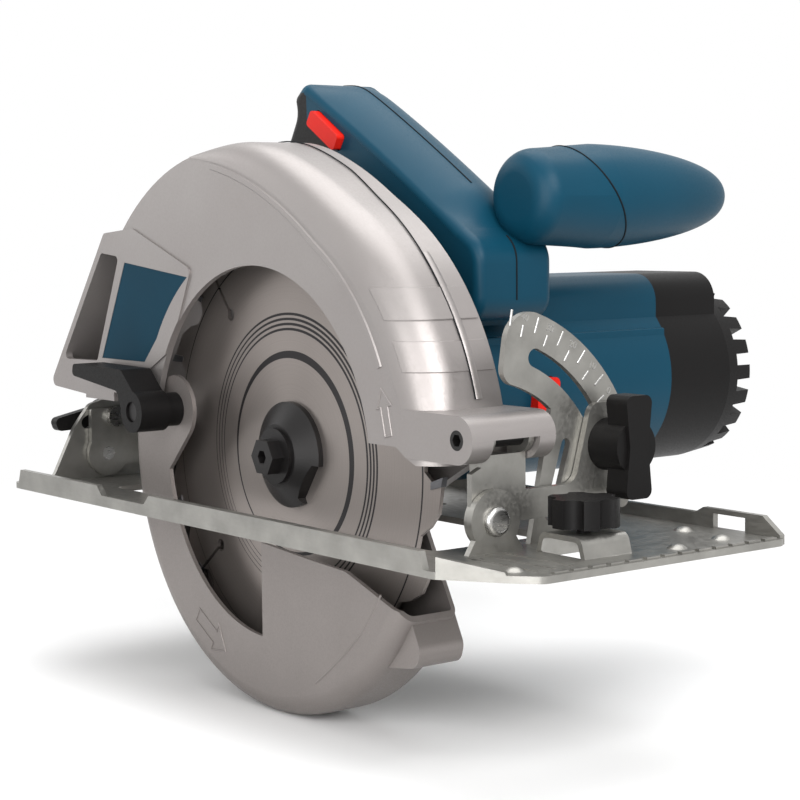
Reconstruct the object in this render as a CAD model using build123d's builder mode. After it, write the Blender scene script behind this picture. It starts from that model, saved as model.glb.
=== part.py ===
from build123d import *
import math
import os

os.makedirs("parts", exist_ok=True)

# Hand-held circular saw, in millimetres.
# +X is the cutting direction, +Y runs from the blade to the motor and +Z is up.
# The origin is on the sole, under the blade axis and in the blade's mid-plane.

# Blade
blade_diameter = 190.0
depth_of_cut = 70.0
blade_plate = 1.6
kerf = 2.4
blade_bore = 20.0
tooth_count = 18
gullet_depth = 11.0
slot_count = 4
slot_length = 15.0

# Fits and gaps
running_gap = 0.05
plate_gap = 0.3
seat_gap = 0.1

# Blade guards
tip_gap = 5.0
lower_wall = 2.0
lower_side_wall = 1.8
guard_gap = 4.5
guard_wall = 3.5
guard_near_wall = 2.5
guard_far_wall = 4.5
lower_near = -15.0
lower_far = 11.5
guard_side_gap = 1.0
guard_round = 16.0
cavity_round = 13.0
lower_round = 8.0
guard_window_rim = 35.0
guard_frame = 0.8
duct_lift = 5.5
hinge_reach = 14.0
hinge_rise = 17.0
hinge_boss_r = 8.5
hinge_pin_r = 3.5
hinge_far = 19.4
hinge_eye_r = 6.0

# Base and tilt frame
base_length = 331.0
base_width = 138.5
base_near = -44.6
base_front_reach = 49.4
sheet = 2.5
near_rim = 8.5
near_rim_notch = 4.6
far_rim = 7.5
bevel_y = -4.5
bevel_z = 13.5
bevel_angle = 45.0
depth_angle = 32.0
quadrant_r = 59.5
quadrant_slot = 6.6
clamp_bolt_r = 3.0
rivet_r = 3.0
arm_r = 190.0
arm_width = 16.0
arm_rest_angle = -5.0
guide_bar_width = 15.0
guide_bar_height = 5.0
guide_x = 147.0
guide_y = 19.0

# Gear train, spindle and motor
gear_module = 1.0
gear_teeth = 44
pinion_teeth = 8
pressure_angle = 25.0
tooth_shift = 0.3
backlash = 0.06
gear_width = 10.0
motor_lean = 67.4
motor_r = 39.5
housing_wall = 2.6
housing_end = 161.0
motor_end = 212.0
deck_rise = 44.0
deck_half = 30.0
vent_teeth = 21
vent_depth = 9.0

# Handles
handle_y = 57.0
handle_width = 38.0
handle_round = 4.0
handle_wall = 3.0
front_grip_r = 20.5
front_grip_end = 167.0
trigger_travel = 6.0
lock_drop = 6.6
lock_pin_r = 2.5

# Places worked out from the sizes above
blade_r = blade_diameter / 2
hub_z = blade_r - depth_of_cut
hub = (0.0, hub_z)
lower_r = blade_r + tip_gap + lower_wall
cavity_r = lower_r + guard_gap
guard_r = cavity_r + guard_wall
guard_window_r = guard_r - guard_window_rim
cavity_near = lower_near - guard_side_gap
cavity_far = lower_far + guard_side_gap
guard_near = cavity_near - guard_near_wall
guard_far = cavity_far + guard_far_wall
duct_hub = (-20.0, hub_z + 5.0)
duct_r = guard_r + duct_lift
pivot = (guard_r + hinge_reach, hub_z + hinge_rise)
pivot_x, pivot_z = pivot
base_front = pivot_x + base_front_reach
base_rear = base_front - base_length
base_far = base_near + base_width
gear_pitch_r = gear_module * gear_teeth / 2
pinion_pitch_r = gear_module * pinion_teeth / 2
shaft_distance = gear_pitch_r + pinion_pitch_r
motor_x = shaft_distance * math.cos(math.radians(motor_lean))
motor_z = hub_z + shaft_distance * math.sin(math.radians(motor_lean))
motor = (motor_x, motor_z)
deck_top = motor_z + deck_rise
grip_near = handle_y - handle_width / 2
grip_far = handle_y + handle_width / 2
cavity_width = handle_width - 2 * handle_wall


def side(y):
    """Upright plane across the saw at a given y, with extrusions running towards the blade side."""
    return Plane.XZ.offset(-y)


def upright(x):
    """Upright plane square to the cutting direction at a given x, with extrusions running forward."""
    return Plane.YZ.offset(x)


def polar(centre, radius, degrees):
    """Point at a radius and an angle from a centre."""
    angle = math.radians(degrees)
    return (centre[0] + radius * math.cos(angle), centre[1] + radius * math.sin(angle))


def turn(centre, profile, rounds=(), mode=Mode.ADD):
    """Spin a half profile of (radius, y) points about the line along Y through a centre."""
    x, z = centre
    with BuildSketch(Plane((x, 0, z))) as half:
        with BuildLine():
            Polyline(*profile, close=True)
        make_face()
        for corner, radius in rounds:
            fillet(half.vertices().sort_by_distance(corner)[0], radius)
    revolve(half.sketch, axis=Axis((x, 0, z), (0, 1, 0)), mode=mode)


def ring(centre, outer, bore, y0, y1, mode=Mode.ADD):
    """Round bar or ring along Y."""
    turn(centre, [(bore, y0), (outer, y0), (outer, y1), (bore, y1)], mode=mode)


def plate(plane, thickness, outline, radius=0.0, mode=Mode.ADD):
    """Flat piece: a closed outline with rounded corners, extruded from its plane."""
    with BuildSketch(plane) as face:
        with BuildLine():
            FilletPolyline(*outline, radius=radius, close=True)
        make_face()
    extrude(face.sketch, amount=thickness, mode=mode)


def stud(x0, x1, radius, y, z, mode=Mode.ADD):
    """Round bar along X."""
    with BuildSketch(upright(x0)) as face:
        with Locations((y, z)):
            Circle(radius)
    extrude(face.sketch, amount=x1 - x0, mode=mode)


def arc_slot(centre, radius, width, start, sweep):
    """Face of a slot that follows an arc about a centre."""
    with BuildSketch() as slot:
        SlotArc(CenterArc(centre, radius, start, sweep, mode=Mode.PRIVATE), width)
    return slot.sketch


# Upper guard: die-cast hood with a rounded front rim, a flat chip duct behind it and the hinge hood
chip_peak = (-guard_r - 4.5, hub_z + 87.5)
chip_toe = (-guard_r - 56.5, hub_z + 19.0)
chip_heel = (-guard_r + 2.0, hub_z + 15.0)
chip_root = (-guard_r + 50.0, hub_z + 40.0)
chip_brow = (-guard_r + 20.0, hub_z + 89.5)
chip_outline = [chip_peak, chip_toe, chip_heel, chip_root, chip_brow]
chip_wall = 3.0
chip_window = [(8.0, 77.5), (-7.0, 79.0), (-43.3, 31.5), (-12.5, 32.0)]
label_corners = [(13.0, 75.0), (64.0, 69.5), (28.0, 33.5), (-8.0, 33.5)]
label_thickness = 0.6
frame_corner = (-guard_r + 66.0, hub_z + 73.0)
crease_centre = (-60.0, hub_z - 53.0)
crease_r = guard_r + 61.5
skirt_front = hub_z + 6.0
far_skirt = hub_z - 15.0
bearing_seat_r = 20.0
bearing_boss_r = gear_pitch_r + 1.3
bearing_boss_far = guard_far + 10.0
link_x = guard_r - 14.0
cover_screw_r = 1.2
cover_head_r = 2.2
cover_places = [polar(hub, bearing_seat_r + 2.0, angle) for angle in (90.0, 210.0, 330.0)]
arm_bolt = polar(pivot, arm_r, 180.0 - arm_rest_angle)


def beside_guard(corners):
    """Places given from the hood's rear edge and the height of the blade axis."""
    return [(x - guard_r, hub_z + z) for x, z in corners]


def label_face(grow):
    """Outline of the plate on the duct, cut round to clear the blade opening."""
    with BuildSketch(side(guard_near)) as label:
        with BuildLine():
            Polyline(*beside_guard(label_corners), close=True)
        make_face()
        with Locations(hub):
            Circle(guard_window_r + 9.0, mode=Mode.SUBTRACT)
        if grow:
            offset(amount=grow, kind=Kind.INTERSECTION, mode=Mode.REPLACE)
    return label.sketch


with BuildPart() as upper_guard:
    with BuildSketch(side(guard_far)) as duct_face:
        with Locations(duct_hub):
            Circle(duct_r - seat_gap)
        with Locations(crease_centre):
            Circle(crease_r, mode=Mode.INTERSECT)
    extrude(amount=guard_far - guard_near)
    for centre, radius in ((duct_hub, duct_r), (hub, guard_r)):
        box = [(0, guard_near), (radius, guard_near), (radius, guard_far), (0, guard_far)]
        turn(centre, box, [((radius, guard_near), guard_round)])
    plate(side(guard_far), guard_far - guard_near, chip_outline, 3.0)
    plate(side(guard_near), guard_frame, chip_outline[:4] + [frame_corner, chip_brow], 3.0)
    extrude(label_face(seat_gap), amount=guard_frame + 1.0, mode=Mode.SUBTRACT)
    with BuildSketch(side(hinge_far)) as hood_face:
        with BuildLine():
            CenterArc(pivot, hinge_boss_r, 0, 360)
            CenterArc((link_x, pivot_z), hinge_boss_r, 0, 360)
        make_hull()
    extrude(amount=hinge_far - guard_near)
    for centre, radius in ((hub, cavity_r), (duct_hub, duct_r - guard_wall)):
        box = [(0, cavity_near), (radius, cavity_near), (radius, cavity_far), (0, cavity_far)]
        turn(centre, box, [((radius, cavity_near), cavity_round)], mode=Mode.SUBTRACT)
    with BuildSketch(side(cavity_far)) as duct_hollow:
        with BuildLine():
            Polyline(*chip_outline, close=True)
        make_face()
        offset(amount=-chip_wall, kind=Kind.INTERSECTION, mode=Mode.REPLACE)
    extrude(amount=cavity_far - cavity_near, mode=Mode.SUBTRACT)
    ring(hub, guard_window_r, 0, guard_near - guard_frame - 1.0, cavity_near + 1.0, Mode.SUBTRACT)
    plate(
        side(cavity_near + 1.0),
        guard_near_wall + guard_frame + 2.0,
        beside_guard(chip_window),
        2.0,
        Mode.SUBTRACT,
    )
    plate(
        side(cavity_far),
        cavity_far - guard_near + guard_frame + 1.0,
        [
            (chip_heel[0] - 0.5, chip_heel[1] + 4.0),
            (-guard_r + 60.0, chip_heel[1]),
            (0.0, hub_z + 12.0),
            (guard_r - 20.0, hub_z + 12.0),
            (guard_r - 10.0, skirt_front),
            (guard_r + 5.0, skirt_front),
            (guard_r + 8.0, hub_z - 2 * guard_r),
            (-2 * guard_r, hub_z - 2 * guard_r),
            (-2 * guard_r, chip_toe[1] - 4.0),
            (chip_heel[0] - 0.5, chip_heel[1]),
        ],
        0.0,
        Mode.SUBTRACT,
    )
    with BuildSketch(side(guard_far)) as far_trim:
        with BuildLine():
            Polyline(
                (-2 * guard_r, chip_heel[1]),
                chip_heel,
                (arm_bolt[0] - 14.0, far_skirt),
                (guard_r - 50.0, far_skirt),
                (guard_r - 12.0, skirt_front),
                (guard_r + 5.0, skirt_front),
                (guard_r + 5.0, -2 * guard_r),
                (-2 * guard_r, -2 * guard_r),
                close=True,
            )
        make_face()
        with Locations(hub):
            Circle(bearing_boss_r, mode=Mode.SUBTRACT)
    extrude(amount=guard_far - cavity_far, mode=Mode.SUBTRACT)
    ring(hub, bearing_boss_r, bearing_seat_r, cavity_far, bearing_boss_far)
    ring(hub, bearing_seat_r, 0, cavity_far - 1.0, bearing_boss_far - 1.5, Mode.SUBTRACT)
    ring(hub, bearing_seat_r - 4.0, 0, guard_far, bearing_boss_far + 1.0, Mode.SUBTRACT)
    eye_near = guard_near + 9.5
    eye_far = hinge_far - 7.4
    ring(pivot, hinge_eye_r + 0.4, 0, eye_near, eye_far, Mode.SUBTRACT)
    plate(
        side(eye_far),
        eye_far - eye_near,
        [
            (pivot_x - hinge_boss_r + 1.0, pivot_z),
            (pivot_x + hinge_boss_r + 1.0, pivot_z),
            (pivot_x + hinge_boss_r + 1.0, pivot_z - 2 * hinge_boss_r),
            (pivot_x - hinge_boss_r + 1.0, pivot_z - 2 * hinge_boss_r),
        ],
        0.0,
        Mode.SUBTRACT,
    )
    ring(pivot, hinge_pin_r + running_gap, 0, guard_near - 1.0, hinge_far + 1.0, Mode.SUBTRACT)
    ring(arm_bolt, clamp_bolt_r + running_gap, 0, cavity_far - 1.0, guard_far + 1.0, Mode.SUBTRACT)
    ring(arm_bolt, 5.0 + running_gap, 0, cavity_far - 1.0, cavity_far + 2.0, Mode.SUBTRACT)
    for place in cover_places:
        ring(place, cover_screw_r + running_gap, 0, cavity_far - 1.0, guard_far - 1.0, Mode.SUBTRACT)

# Coloured plate on the duct, let into its frame beside the chip window
with BuildPart() as duct_plate:
    extrude(label_face(0.0), amount=label_thickness)

# Bearing cover that closes the spindle bearing and carries the lower guard's hub
guard_hub_r = 24.4
cover_lip = guard_hub_r + 3.4
cover_near = lower_far - lower_side_wall - 2.4
with BuildPart() as bearing_cover:
    turn(
        hub,
        [
            (14.0, cover_near),
            (cover_lip, cover_near),
            (cover_lip, cover_near + 2.0),
            (guard_hub_r, cover_near + 2.0),
            (guard_hub_r, cavity_far),
            (14.0, cavity_far),
        ],
    )
    for place in cover_places:
        ring(place, cover_screw_r + seat_gap, 0, cover_near - 1.0, cavity_far + 1.0, Mode.SUBTRACT)
        ring(place, cover_head_r + seat_gap, 0, cover_near - 1.0, cover_near + 1.6, Mode.SUBTRACT)

with BuildPart() as cover_screws:
    for place in cover_places:
        ring(place, cover_head_r, 0, cover_near + 0.2, cover_near + 1.6)
        ring(place, cover_screw_r, 0, cover_near + 1.0, guard_far - 1.0)

# Lower guard: swinging shell with an open near side, an ear for its lever and a flared nose at the front
lower_front = -31.2
lower_back = -188.0
front_top = (lower_r - 43.0, hub_z)
lever_hub = (-lower_r + 37.0, hub_z + 14.5)
lever_hub_r = 7.0
ear_r = lever_hub_r + 7.0
window_edge = lower_r - 30.5
face_line = [(-2.0, -34.0), (30.0, -36.5), (54.0, -38.0), (92.0, -51.0)]
nose_reach = 11.0
rim_in = lower_r - lower_wall
near_in = lower_near + lower_side_wall
far_in = lower_far - lower_side_wall


def ear_face(y):
    """Ear on the near wall for the lever, flared into the rim of the shell."""
    with BuildSketch(side(y)) as ear:
        with BuildLine():
            CenterArc(lever_hub, ear_r, 0, 360)
            CenterArc(hub, lower_r - 16.0, 166.0, 30.0)
        make_hull()
    return ear.sketch


with BuildPart() as lower_guard:
    box = [(0, lower_near), (lower_r, lower_near), (lower_r, lower_far), (0, lower_far)]
    turn(hub, box, [((lower_r, lower_near), lower_round), ((lower_r, lower_far), 3.0)])
    with BuildSketch(side(lower_far)) as nose:
        with BuildLine():
            nose_top = polar(hub, rim_in, lower_front)
            nose_tip = polar(hub, lower_r + nose_reach - 2.5, lower_front - 3.4)
            nose_foot = polar(hub, lower_r + nose_reach, lower_front - 6.8)
            nose_root = polar(hub, lower_r - 0.5, lower_front - 14.0)
            FilletPolyline(
                nose_top,
                nose_tip,
                nose_foot,
                nose_root,
                polar(hub, rim_in - 6.0, lower_front - 9.0),
                radius=[0.0, 5.0, 5.0, 0.0, 0.0],
                close=True,
            )
        make_face()
    extrude(amount=lower_far - lower_near - lower_round + 2.0)
    box = [(0, near_in), (rim_in, near_in), (rim_in, far_in), (0, far_in)]
    rounds = [((rim_in, near_in), lower_round - lower_wall), ((rim_in, far_in), 1.0)]
    turn(hub, box, rounds, mode=Mode.SUBTRACT)
    reach = 2 * lower_r
    with BuildSketch(side(lower_far)) as open_sector:
        with BuildLine():
            front_foot = polar(hub, lower_r, lower_front)
            run = (front_foot[0] - front_top[0], front_foot[1] - front_top[1])
            Polyline(
                hub,
                front_top,
                (front_foot[0] + 0.4 * run[0], front_foot[1] + 0.4 * run[1]),
                polar(hub, reach, lower_front + 10.0),
                polar(hub, reach, 30.0),
                polar(hub, reach, 110.0),
                polar(hub, reach, lower_back),
                close=True,
            )
        make_face()
        with Locations(hub):
            Circle(guard_hub_r + 9.0, mode=Mode.SUBTRACT)
    extrude(amount=lower_far - lower_near, mode=Mode.SUBTRACT)
    with BuildSketch(side(near_in + lower_round)) as near_open:
        with Locations(hub):
            Circle(window_edge)
        with BuildLine():
            line = [(x, hub_z + z) for x, z in face_line]
            Polyline(*line, (reach, line[-1][1]), (reach, hub_z), (line[0][0], hub_z), close=True)
        make_face()
        with BuildLine():
            corner = (line[0][0], hub_z - reach)
            Polyline(*line, (reach, line[-1][1]), (reach, hub_z - reach), corner, close=True)
        make_face(mode=Mode.SUBTRACT)
    extrude(amount=near_in + lower_round - lower_near, mode=Mode.SUBTRACT)
    extrude(ear_face(near_in), amount=lower_side_wall)
    ring(hub, guard_hub_r + running_gap, 0, lower_near, lower_far, Mode.SUBTRACT)
    ring(lever_hub, 2.0, 0, lower_near - 1.0, near_in + 1.0, Mode.SUBTRACT)

# Thumb lever on the lower guard and its screw
lever_end = lower_near - 21.0
arm_inner = guard_near - 3.5
with BuildPart() as guard_lever:
    ring(lever_hub, lever_hub_r, 2.1, lever_end, lower_near)
    ring(lever_hub, lever_hub_r + 1.5, 2.1, lever_end, arm_inner)
    pad = [
        (-50.0, 12.5),
        (-49.0, 17.5),
        (-8.0, 17.0),
        (2.0, 8.0),
        (7.0, 0.0),
        (0.0, -6.0),
        (-8.0, 0.0),
        (-12.0, 8.0),
    ]
    plate(
        side(arm_inner),
        arm_inner - lever_end,
        [(lever_hub[0] + x, lever_hub[1] + z) for x, z in pad],
        2.0,
    )
    ring(lever_hub, 2.1, 0, lever_end - 1.0, lower_near + 1.0, Mode.SUBTRACT)
    ring(lever_hub, 4.2, 0, lever_end - 1.0, lever_end + 4.0, Mode.SUBTRACT)

with BuildPart() as guard_lever_screw:
    turn(
        lever_hub,
        [
            (0, lever_end + 1.0),
            (3.9, lever_end + 1.0),
            (3.9, lever_end + 4.0),
            (1.9, lever_end + 4.0),
            (1.9, near_in + 0.5),
            (0, near_in + 0.5),
        ],
    )

# Saw blade with hooked teeth, expansion slots and carbide tips
tooth_pitch = 360.0 / tooth_count
tip_length = 7.0
tip_angle = 2.2


def tip_outline(angle):
    """Corners of one carbide tip seated in the front of its tooth."""
    return [
        polar(hub, blade_r, angle),
        polar(hub, blade_r - 1.0, angle - tip_angle),
        polar(hub, blade_r - tip_length, angle - tip_angle - 1.2),
        polar(hub, blade_r - tip_length, angle - 1.6),
    ]


blade_outline = []
for tooth in range(tooth_count):
    angle = tooth * tooth_pitch
    blade_outline += [
        polar(hub, blade_r - 6.0, angle - 0.62 * tooth_pitch),
        polar(hub, blade_r - 2.2, angle - 0.42 * tooth_pitch),
        polar(hub, blade_r - 1.2, angle - tip_angle),
        polar(hub, blade_r - tip_length, angle - 1.4),
        polar(hub, blade_r - gullet_depth, angle + 0.03 * tooth_pitch),
        polar(hub, blade_r - gullet_depth, angle + 0.2 * tooth_pitch),
    ]

slot_angles = [(i + 0.5) * 360.0 / slot_count - 0.32 * tooth_pitch for i in range(slot_count)]
with BuildPart() as saw_blade:
    with BuildSketch(side(blade_plate / 2)) as blade_face:
        with BuildLine():
            Polyline(*blade_outline, close=True)
        make_face()
        with Locations(hub):
            Circle(blade_bore / 2, mode=Mode.SUBTRACT)
        for angle in slot_angles:
            slot_foot = polar(hub, blade_r - gullet_depth - slot_length, angle)
            with Locations(slot_foot):
                Circle(2.5, mode=Mode.SUBTRACT)
            with Locations(Location(polar(hub, blade_r - slot_length / 2, angle), angle)):
                Rectangle(slot_length + gullet_depth * 2, 1.4, mode=Mode.SUBTRACT)
    extrude(amount=blade_plate)
    for tooth in range(tooth_count):
        plate(side(blade_plate), 2 * blade_plate, tip_outline(tooth * tooth_pitch), 0.0, Mode.SUBTRACT)

with BuildPart() as carbide_tips:
    for tooth in range(tooth_count):
        plate(side(kerf / 2), kerf, tip_outline(tooth * tooth_pitch))

# Spindle with its gear, the two blade flanges and the blade bolt
flange_r = 21.0
nose_r = 6.0
spindle_bearing_r = 8.5
gear_seat_r = 7.5
tail_r = 5.0
gear_near = bearing_boss_far + 3.0
gear_far = gear_near + gear_width
tail_end = gear_far + 11.0
bolt_r = 4.0
half_plate = blade_plate / 2
flange_far = cover_near - 0.7
with BuildPart() as spindle:
    turn(
        hub,
        [
            (0, -0.4),
            (nose_r, -0.4),
            (nose_r, flange_far),
            (spindle_bearing_r, flange_far),
            (spindle_bearing_r, bearing_boss_far - 1.0),
            (gear_seat_r, bearing_boss_far - 1.0),
            (gear_seat_r, gear_far),
            (tail_r, gear_far),
            (tail_r, tail_end),
            (0, tail_end),
        ],
    )
    ring(hub, bolt_r + running_gap, 0, -1.0, 20.0, Mode.SUBTRACT)

with BuildPart() as inner_flange:
    turn(
        hub,
        [
            (nose_r + running_gap, -half_plate + 0.2),
            (blade_bore / 2 - running_gap, -half_plate + 0.2),
            (blade_bore / 2 - running_gap, half_plate),
            (flange_r, half_plate),
            (flange_r, half_plate + 2.0),
            (14.0, flange_far),
            (nose_r + running_gap, flange_far),
        ],
    )

with BuildPart() as outer_flange:
    turn(
        hub,
        [
            (bolt_r + running_gap, -half_plate),
            (flange_r, -half_plate),
            (flange_r, -half_plate - 2.2),
            (12.5, -half_plate - 7.6),
            (bolt_r + running_gap, -half_plate - 7.6),
        ],
    )
    plate(
        side(0),
        20.0,
        [
            polar(hub, flange_r + 4.0, -62.0),
            polar(hub, flange_r + 4.0, -8.0),
            polar(hub, flange_r * 0.885, -8.0),
            polar(hub, flange_r * 0.885, -62.0),
        ],
        0.0,
        Mode.SUBTRACT,
    )

bolt_seat = -half_plate - 7.6
with BuildPart() as blade_bolt:
    turn(
        hub,
        [
            (0, bolt_seat - 1.6),
            (11.0, bolt_seat - 1.6),
            (11.0, bolt_seat),
            (bolt_r, bolt_seat),
            (bolt_r, 18.0),
            (0, 18.0),
        ],
    )
    with BuildSketch(side(bolt_seat - 1.6)) as bolt_head:
        with Locations(hub):
            RegularPolygon(6.5, 6, major_radius=False)
            RegularPolygon(2.5, 6, major_radius=False, mode=Mode.SUBTRACT)
    extrude(amount=5.4)


def gear_outline(centre, teeth, shift, phase):
    """Involute outline of a spur gear with one tooth centred on the phase angle."""
    pitch_r = gear_module * teeth / 2
    pressure = math.radians(pressure_angle)
    base_r = pitch_r * math.cos(pressure)
    tip_r = pitch_r + gear_module * (1.0 + shift)
    root_r = pitch_r - gear_module * (1.25 - shift)
    half_tooth = (math.pi / 2 + 2 * shift * math.tan(pressure)) / teeth - backlash / (2 * pitch_r)
    radii = [root_r, max(base_r, root_r + 0.1), pitch_r, (pitch_r + tip_r) / 2, tip_r]

    def half_angle(radius):
        """Half the tooth's angle at a radius, by the involute of the base circle."""
        roll = math.acos(min(1.0, base_r / radius))
        width = half_tooth + math.tan(pressure) - pressure - (math.tan(roll) - roll)
        return math.degrees(width)

    outline = []
    for tooth in range(teeth):
        middle = phase + tooth * 360.0 / teeth
        outline += [polar(centre, radius, middle - half_angle(radius)) for radius in radii]
        outline += [polar(centre, radius, middle + half_angle(radius)) for radius in reversed(radii)]
    return outline


with BuildPart() as spindle_gear:
    plate(side(gear_far), gear_width, gear_outline(hub, gear_teeth, -tooth_shift, motor_lean))
    ring(hub, gear_seat_r, 0, gear_near - 1.0, gear_far + 1.0, Mode.SUBTRACT)

# Armature: shaft with pinion, core, end windings, commutator and fan
pinion_phase = motor_lean + 180.0 + 180.0 / pinion_teeth
shaft_r = 5.0
bridge_near = gear_far + 3.0
bridge_far = bridge_near + 11.0
fan_near = bridge_far + 6.0
fan_far = fan_near + 12.0
core_near = fan_far + 32.0
core_far = core_near + 44.0
core_r = 22.0
commutator_near = core_far + 10.0
commutator_far = commutator_near + 16.0
commutator_r = 13.0
rear_bearing_near = commutator_far + 7.0
rear_bearing_far = rear_bearing_near + 7.0
shaft_end = rear_bearing_far + 2.0
lock_y = fan_far + 16.0
lock_half_y = 6.0
lock_half_z = 11.0
collar_r = 10.0
with BuildPart() as armature_shaft:
    plate(
        side(gear_far + 1.0),
        gear_width + 2.0,
        gear_outline(motor, pinion_teeth, tooth_shift, pinion_phase),
    )
    ring(motor, shaft_r, 0, gear_far + 1.0, shaft_end)
    ring(motor, collar_r, 0, lock_y - 4.0, lock_y + 4.0)
    for angle in range(0, 360, 90):
        x, z = polar(motor, shaft_r, angle)
        outward = (x - motor_x, 0, z - motor_z)
        with BuildSketch(Plane((x, lock_y, z), z_dir=outward)) as lock_hole:
            Circle(lock_pin_r + plate_gap)
        extrude(amount=collar_r, mode=Mode.SUBTRACT)

with BuildPart() as armature_core:
    ring(motor, core_r, shaft_r, core_near, core_far)

with BuildPart() as armature_windings:
    for y0, y1 in ((core_near - 9.0, core_near), (core_far, core_far + 8.0)):
        turn(motor, [(shaft_r + 2.0, y0), (core_r - 3.0, y0), (core_r - 3.0, y1), (shaft_r + 2.0, y1)])

with BuildPart() as commutator:
    ring(motor, commutator_r, shaft_r, commutator_near, commutator_far)

fan_r = 32.0
fan_blades = 12
with BuildPart() as cooling_fan:
    ring(motor, fan_r, shaft_r + running_gap, fan_near, fan_near + 2.0)
    ring(motor, 10.0, shaft_r + running_gap, fan_near, fan_far)
    with BuildSketch(side(fan_far)) as blades:
        for blade in range(fan_blades):
            angle = blade * 360.0 / fan_blades
            with Locations(Location(polar(motor, (fan_r + 8.5) / 2, angle), angle + 12.0)):
                Rectangle(fan_r - 11.5, 1.6)
    extrude(amount=fan_far - fan_near - 1.0)

# Motor field, brushes and the four shaft bearings
stator_r = motor_r - housing_wall - seat_gap
stator_bore = core_r + 1.0
with BuildPart() as stator_core:
    ring(motor, stator_r, stator_bore, core_near, core_far)

with BuildPart() as field_coils:
    for y0, y1 in ((core_near - 9.0, core_near), (core_far, core_far + 8.0)):
        with BuildSketch(side(y1)) as coil_face:
            for start in (25.0, 205.0):
                coil_band = arc_slot(motor, stator_bore + 7.0, 8.0, start, 130.0)
                add(coil_band)
        extrude(amount=y1 - y0)

brush_y = (commutator_near + commutator_far) / 2
brush_half = 3.0
holder_wall = 1.2
holder_out = motor_r - housing_wall - 2.0
with BuildPart() as brush_holders:
    for direction in (-1, 1):
        near_x = motor_x + direction * (commutator_r + 1.5)
        far_x = motor_x + direction * holder_out
        with Locations(((near_x + far_x) / 2, brush_y, motor_z)):
            outer = 2 * (brush_half + holder_wall)
            Box(abs(far_x - near_x), outer, outer + 2.0)
            Box(abs(far_x - near_x), 2 * brush_half, 2 * brush_half + 2.0, mode=Mode.SUBTRACT)

with BuildPart() as carbon_brushes:
    for direction in (-1, 1):
        near_x = motor_x + direction * (commutator_r + running_gap)
        far_x = motor_x + direction * (commutator_r + 14.0)
        with Locations(((near_x + far_x) / 2, brush_y, motor_z)):
            Box(abs(far_x - near_x), 2 * (brush_half - seat_gap), 2 * (brush_half + 1.0 - seat_gap))

with BuildPart() as spindle_front_bearing:
    bearing_r = bearing_seat_r - seat_gap
    ring(hub, bearing_r, spindle_bearing_r + running_gap, cavity_far + seat_gap, bearing_boss_far - 1.6)

spindle_rear_r = 10.0
with BuildPart() as spindle_rear_bearing:
    ring(hub, spindle_rear_r, tail_r + running_gap, bridge_near + 1.0, tail_end - 0.5)

motor_front_r = 14.0
with BuildPart() as motor_front_bearing:
    ring(motor, motor_front_r, shaft_r + running_gap, bridge_near + 1.5, bridge_far)

motor_rear_r = 11.0
with BuildPart() as motor_rear_bearing:
    ring(motor, motor_rear_r, shaft_r + running_gap, rear_bearing_near, rear_bearing_far)

# Motor housing: gear lobe, round motor barrel, flat deck on top and a rib along the front
lobe_r = gear_pitch_r + gear_module + 0.5
lobe_wall = 1.9
rib_z = motor_z + 21.0


def lobe_face(y, inset):
    """Section of the gear chamber: spindle lobe joined to the motor's circle."""
    with BuildSketch(side(y)) as lobe:
        with BuildLine():
            CenterArc(hub, lobe_r + lobe_wall - inset, 0, 360)
            CenterArc(motor, motor_r - 6.0 - inset, 0, 360)
        make_hull()
    return lobe.sketch


def housing_skin(y0, y1, mode=Mode.ADD, swell=0.0):
    """Outer form of the motor barrel with its deck, or a slightly larger seat for it."""
    half = deck_half + swell
    top = deck_top + swell
    ring(motor, motor_r + swell, 0, y0, y1, mode)
    plate(
        side(y1),
        y1 - y0,
        [
            (motor_x - half, motor_z),
            (motor_x - half, top),
            (motor_x + half, top),
            (motor_x + half, motor_z),
        ],
        [0.0, 12.0, 12.0, 0.0],
        mode,
    )


with BuildPart() as motor_housing:
    housing_skin(guard_far, housing_end)
    extrude(lobe_face(bridge_far, 0.0), amount=bridge_far - guard_far)
    rib_x = motor_x + math.sqrt(motor_r**2 - (rib_z - motor_z) ** 2)
    plate(
        side(housing_end),
        housing_end - guard_far - 8.0,
        [
            (motor_x + 20.0, rib_z - 3.0),
            (rib_x + 1.6, rib_z - 4.0),
            (rib_x + 1.6, rib_z),
            (motor_x + 20.0, rib_z + 3.0),
        ],
        0.5,
    )
    extrude(lobe_face(bridge_far, lobe_wall), amount=bridge_far - guard_far, mode=Mode.SUBTRACT)
    ring(motor, motor_r - housing_wall, 0, bridge_far, housing_end, Mode.SUBTRACT)
    with BuildSketch(upright(motor_x + 20.0)) as lock_mouth:
        with Locations((lock_y, motor_z - lock_drop)):
            RectangleRounded(2 * (lock_half_y + plate_gap), 2 * (lock_half_z + plate_gap), 2.5)
    extrude(amount=motor_r, mode=Mode.SUBTRACT)

with BuildPart() as bearing_bridge:
    extrude(lobe_face(bridge_far, lobe_wall + seat_gap), amount=bridge_far - bridge_near)
    ring(hub, spindle_rear_r + seat_gap, 0, bridge_near - 1.0, tail_end, Mode.SUBTRACT)
    ring(motor, motor_front_r + seat_gap, 0, bridge_near + 1.5, bridge_far + 1.0, Mode.SUBTRACT)
    ring(motor, 10.0, 0, bridge_near - 1.0, bridge_far, Mode.SUBTRACT)

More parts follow.
